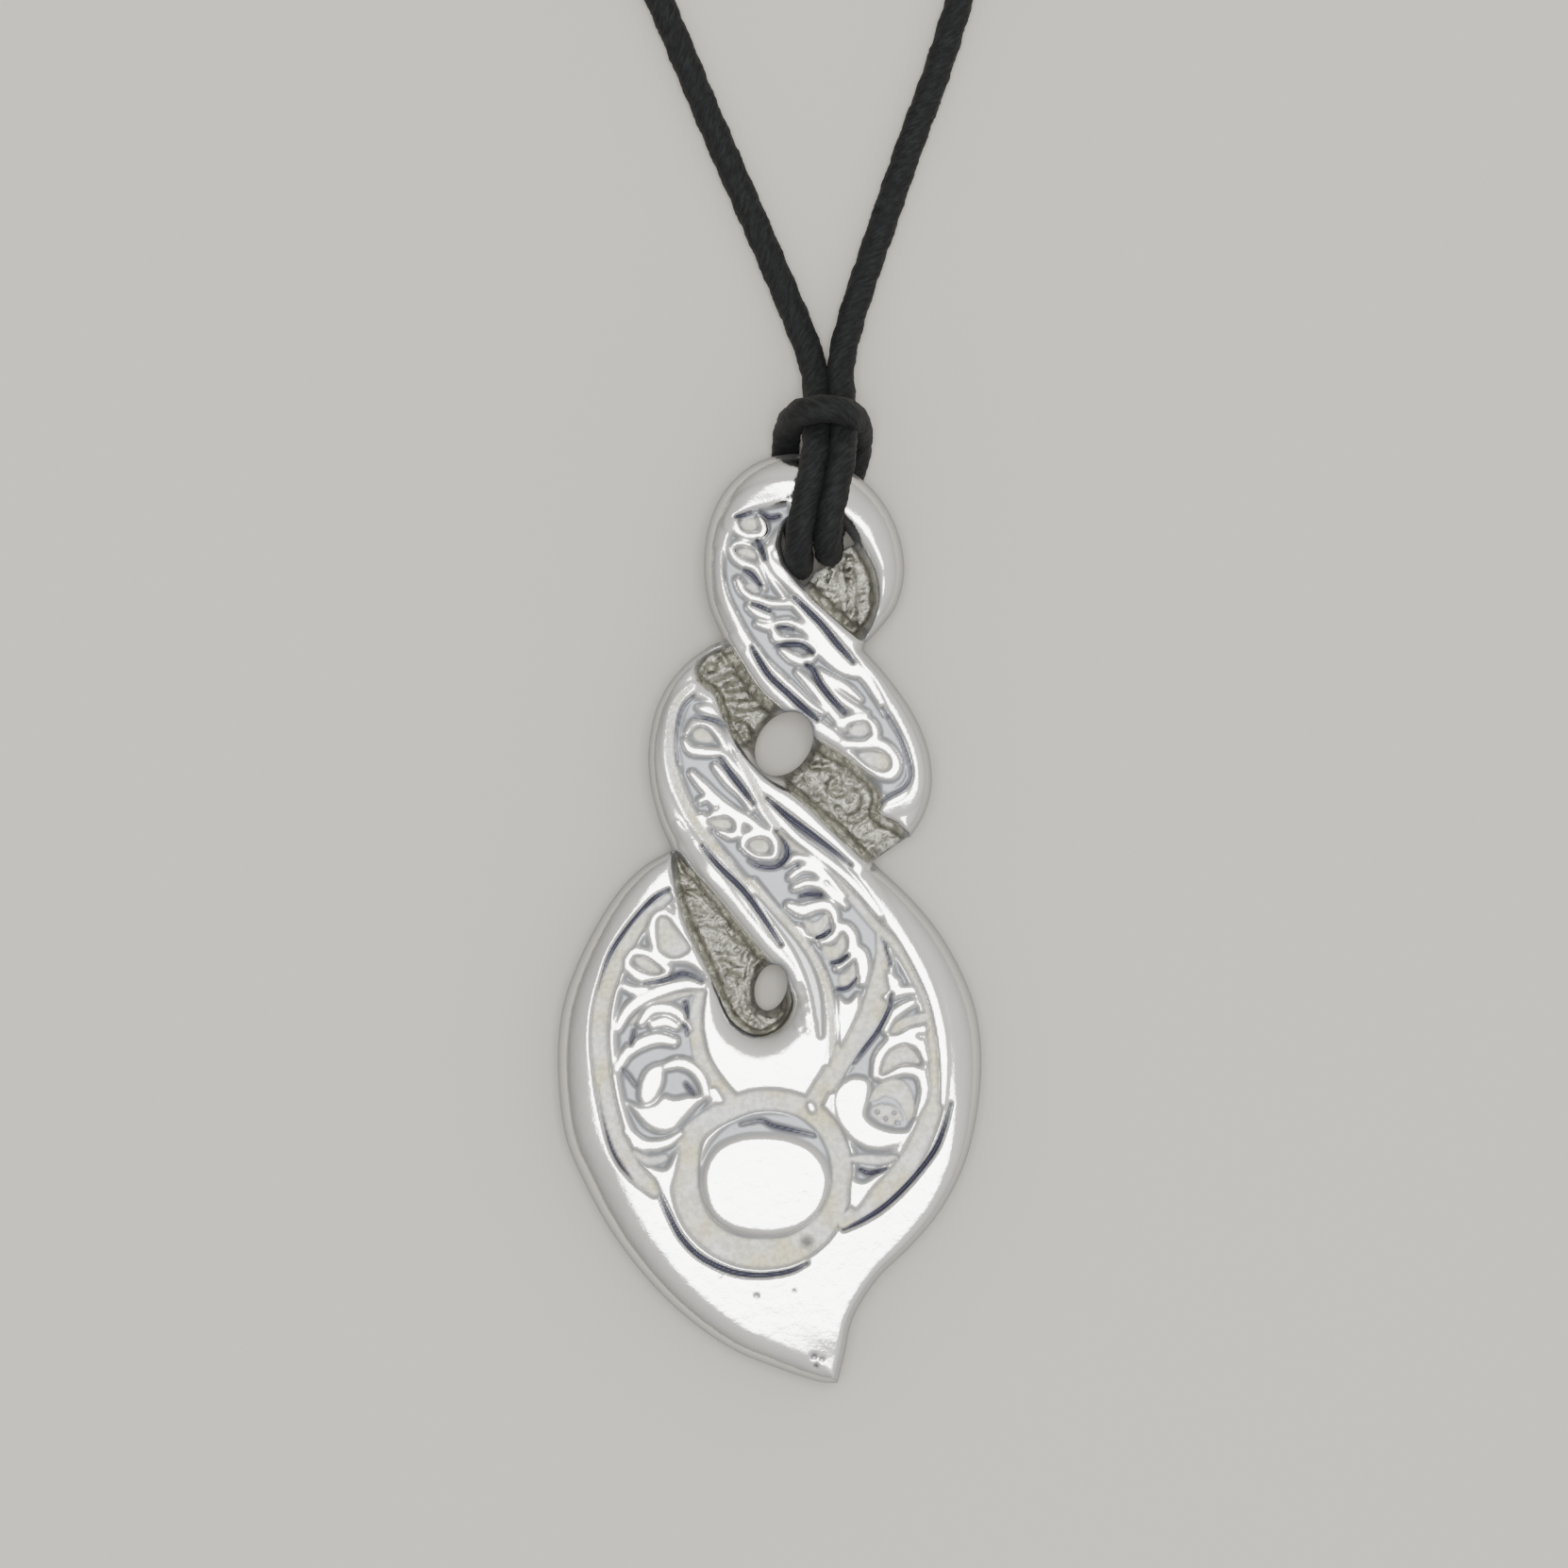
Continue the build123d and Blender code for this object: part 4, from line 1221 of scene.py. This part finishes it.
def build_cord(line, along, radius):
    """A twisted cord round a line: one ring of vertices extruded from station to station."""
    sides, plies, pitch = 36, 3, 5.4 * MM
    bm = bmesh.new()
    uv = bm.loops.layers.uv.new("UVMap")
    turn, station = (bm.verts.layers.float.new(name) for name in ("turn", "station"))
    verts = bmesh.ops.create_circle(bm, segments=sides, radius=radius)["verts"]
    for index, vert in enumerate(verts):
        vert[turn] = index / sides
    edges = list(bm.edges)
    tangent = Vector(line[1] - line[0]).normalized()
    side = tangent.orthogonal().normalized()
    for index, (centre, length) in enumerate(zip(line, along)):
        if index:
            made = bmesh.ops.extrude_edge_only(bm, edges=edges)["geom"]
            verts = [g for g in made if isinstance(g, bmesh.types.BMVert)]
            edges = [g for g in made if isinstance(g, bmesh.types.BMEdge)
                     and all(v in verts for v in g.verts)]
            tangent = Vector(line[min(index + 1, len(line) - 1)] - line[index - 1]).normalized()
            side = (side - tangent * side.dot(tangent)).normalized()
        other = tangent.cross(side)
        for vert in verts:
            angle = 2 * math.pi * vert[turn]
            # The plies twist round the cord, and fuzz and fluff roughen its skin
            lobe = math.cos(plies * angle - 2 * math.pi * plies * length / pitch)
            fuzz, fluff = (
                noise.noise(Vector((wide * math.cos(angle), wide * math.sin(angle), length * fine)))
                for wide, fine in ((4, 3.5 / MM), (9, 8 / MM)))
            reach = radius * (0.99 + 0.035 * lobe + 0.06 * fuzz + 0.05 * fluff)
            vert.co = Vector(centre) + reach * (math.cos(angle) * side + math.sin(angle) * other)
            vert[station] = length
    ends = [e for e in bm.edges if e.is_boundary]
    bmesh.ops.holes_fill(bm, edges=ends, sides=sides)
    around = 2 * math.pi * radius
    for one in bm.faces:
        one.smooth = len(one.verts) == 4
        turns = [loop.vert[turn] for loop in one.loops]
        for loop, value in zip(one.loops, turns):
            if max(turns) - min(turns) > 0.5 and value < 0.5:
                value += 1
            loop[uv].uv = (value - loop.vert[station] / pitch, loop.vert[station] / around)
    bmesh.ops.recalc_face_normals(bm, faces=bm.faces)
    mesh = bpy.data.meshes.new("waxed_cord")
    bm.to_mesh(mesh)
    bm.free()
    return mesh


class PENDANT_OT_casting(bpy.types.Operator):
    """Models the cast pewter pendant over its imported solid"""
    bl_idname = "pendant.casting"
    bl_label = "Casting"

    def execute(self, context):
        look = context.scene.pendant_look
        piece = new_object("cast_pendant", build_casting(look), pewter_material(look))
        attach(piece, "root")
        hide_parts("infinity_pendant")
        return {"FINISHED"}


class PENDANT_OT_cord(bpy.types.Operator):
    """Models the cord that shows, and dresses the rest of its loop"""
    bl_idname = "pendant.cord"
    bl_label = "Cord"

    def execute(self, context):
        look = context.scene.cord_look
        route = [[MM * value for value in point] for point in FRONT_CORD_MM]
        line, along = even_line(route_line(route), 0.14 * MM)
        mesh = build_cord(line, along, look.diameter / 2)
        piece = new_object("hitched_cord", mesh, cord_material(look, "waxed_cotton", "UV"))
        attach(piece, "root")
        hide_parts("front_cord")
        rest = ["back_cord_left", "back_cord_right", "end_knot"]
        plain = cord_material(look, "waxed_cotton_rest", "Object")
        for node in rest:
            repaint(node, plain)
        return {"FINISHED"}


class PENDANT_OT_stage(bpy.types.Operator):
    """Lays the pale floor, hangs the soft light and sets the camera"""
    bl_idname = "pendant.stage"
    bl_label = "Stage"

    def execute(self, context):
        look = context.scene.stage_look
        bm = bmesh.new()
        bmesh.ops.create_grid(bm, x_segments=8, y_segments=8, size=3)
        mesh = bpy.data.meshes.new("floor")
        bm.to_mesh(mesh)
        bm.free()
        new_object("floor", mesh, floor_material(look))
        self.add_light("soft_top", (0.01, 0.02, 0.62), 0.26, 2.3)
        self.add_room(context)
        self.add_camera(context, look.camera_height)
        return {"FINISHED"}

    def add_room(self, context):
        """A pale room that is brighter overhead and to the right than at the horizon."""
        world = bpy.data.worlds.new("room")
        world.use_nodes = True
        tree = world.node_tree
        direction = add(tree, "ShaderNodeTexCoord").outputs["Generated"]
        parts = add(tree, "ShaderNodeSeparateXYZ", {"Vector": direction}).outputs
        lean = add(tree, "ShaderNodeMath", {0: parts["X"], 1: 0.3, 2: parts["Z"]},
                   operation="MULTIPLY_ADD")
        glow = add(tree, "ShaderNodeMapRange", {"Value": lean.outputs[0], "From Min": -0.1,
                                                "From Max": 1.0, "To Min": 0.42, "To Max": 1.15})
        background = tree.nodes["Background"].inputs
        background["Color"].default_value = to_linear("#F5F4F0")
        tree.links.new(glow.outputs["Result"], background["Strength"])
        context.scene.world = world

    def add_light(self, name, place, size, power):
        """A square soft light that faces down."""
        data = bpy.data.lights.new(name, "AREA")
        data.shape = "SQUARE"
        data.size = size
        data.energy = power
        light = bpy.data.objects.new(name, data)
        light.location = place
        bpy.context.scene.collection.objects.link(light)

    def add_camera(self, context, height):
        """A camera straight above, with the photograph's frame round the pendant."""
        face_height = 4.2 * MM
        frame_width = PHOTO_PX * PX
        data = bpy.data.cameras.new("camera")
        data.sensor_width = 36.0
        data.lens = data.sensor_width * height / frame_width
        data.clip_start, data.clip_end = 0.01, 50.0
        camera = bpy.data.objects.new("camera", data)
        middle = PHOTO_PX / 2
        camera.location = (*to_metres(middle, middle), face_height + height)
        context.scene.collection.objects.link(camera)
        context.scene.camera = camera


class PENDANT_PT_panel(bpy.types.Panel):
    """Lists the pendant's pieces and their looks."""
    bl_idname = "PENDANT_PT_panel"
    bl_label = "Pewter twist pendant"
    bl_space_type = "VIEW_3D"
    bl_region_type = "UI"
    bl_category = "Pendant"

    def draw(self, context):
        for operator, group in ((PENDANT_OT_casting, "pendant_look"),
                                (PENDANT_OT_cord, "cord_look"), (PENDANT_OT_stage, "stage_look")):
            box = self.layout.box()
            box.operator(operator.bl_idname)
            look = getattr(context.scene, group)
            for name in look.__annotations__:
                box.prop(look, name)


GROUPS = {"pendant_look": PendantLook, "cord_look": CordLook, "stage_look": StageLook}
CLASSES = [*GROUPS.values(), PENDANT_OT_casting, PENDANT_OT_cord, PENDANT_OT_stage,
           PENDANT_PT_panel]


def register():
    for one in CLASSES:
        bpy.utils.register_class(one)
    for name, group in GROUPS.items():
        setattr(bpy.types.Scene, name, bpy.props.PointerProperty(type=group))


def unregister():
    for name in GROUPS:
        delattr(bpy.types.Scene, name)
    for one in reversed(CLASSES):
        bpy.utils.unregister_class(one)


def main():
    register()
    bpy.ops.pendant.casting()
    bpy.ops.pendant.cord()
    bpy.ops.pendant.stage()


if __name__ == "__main__":
    main()
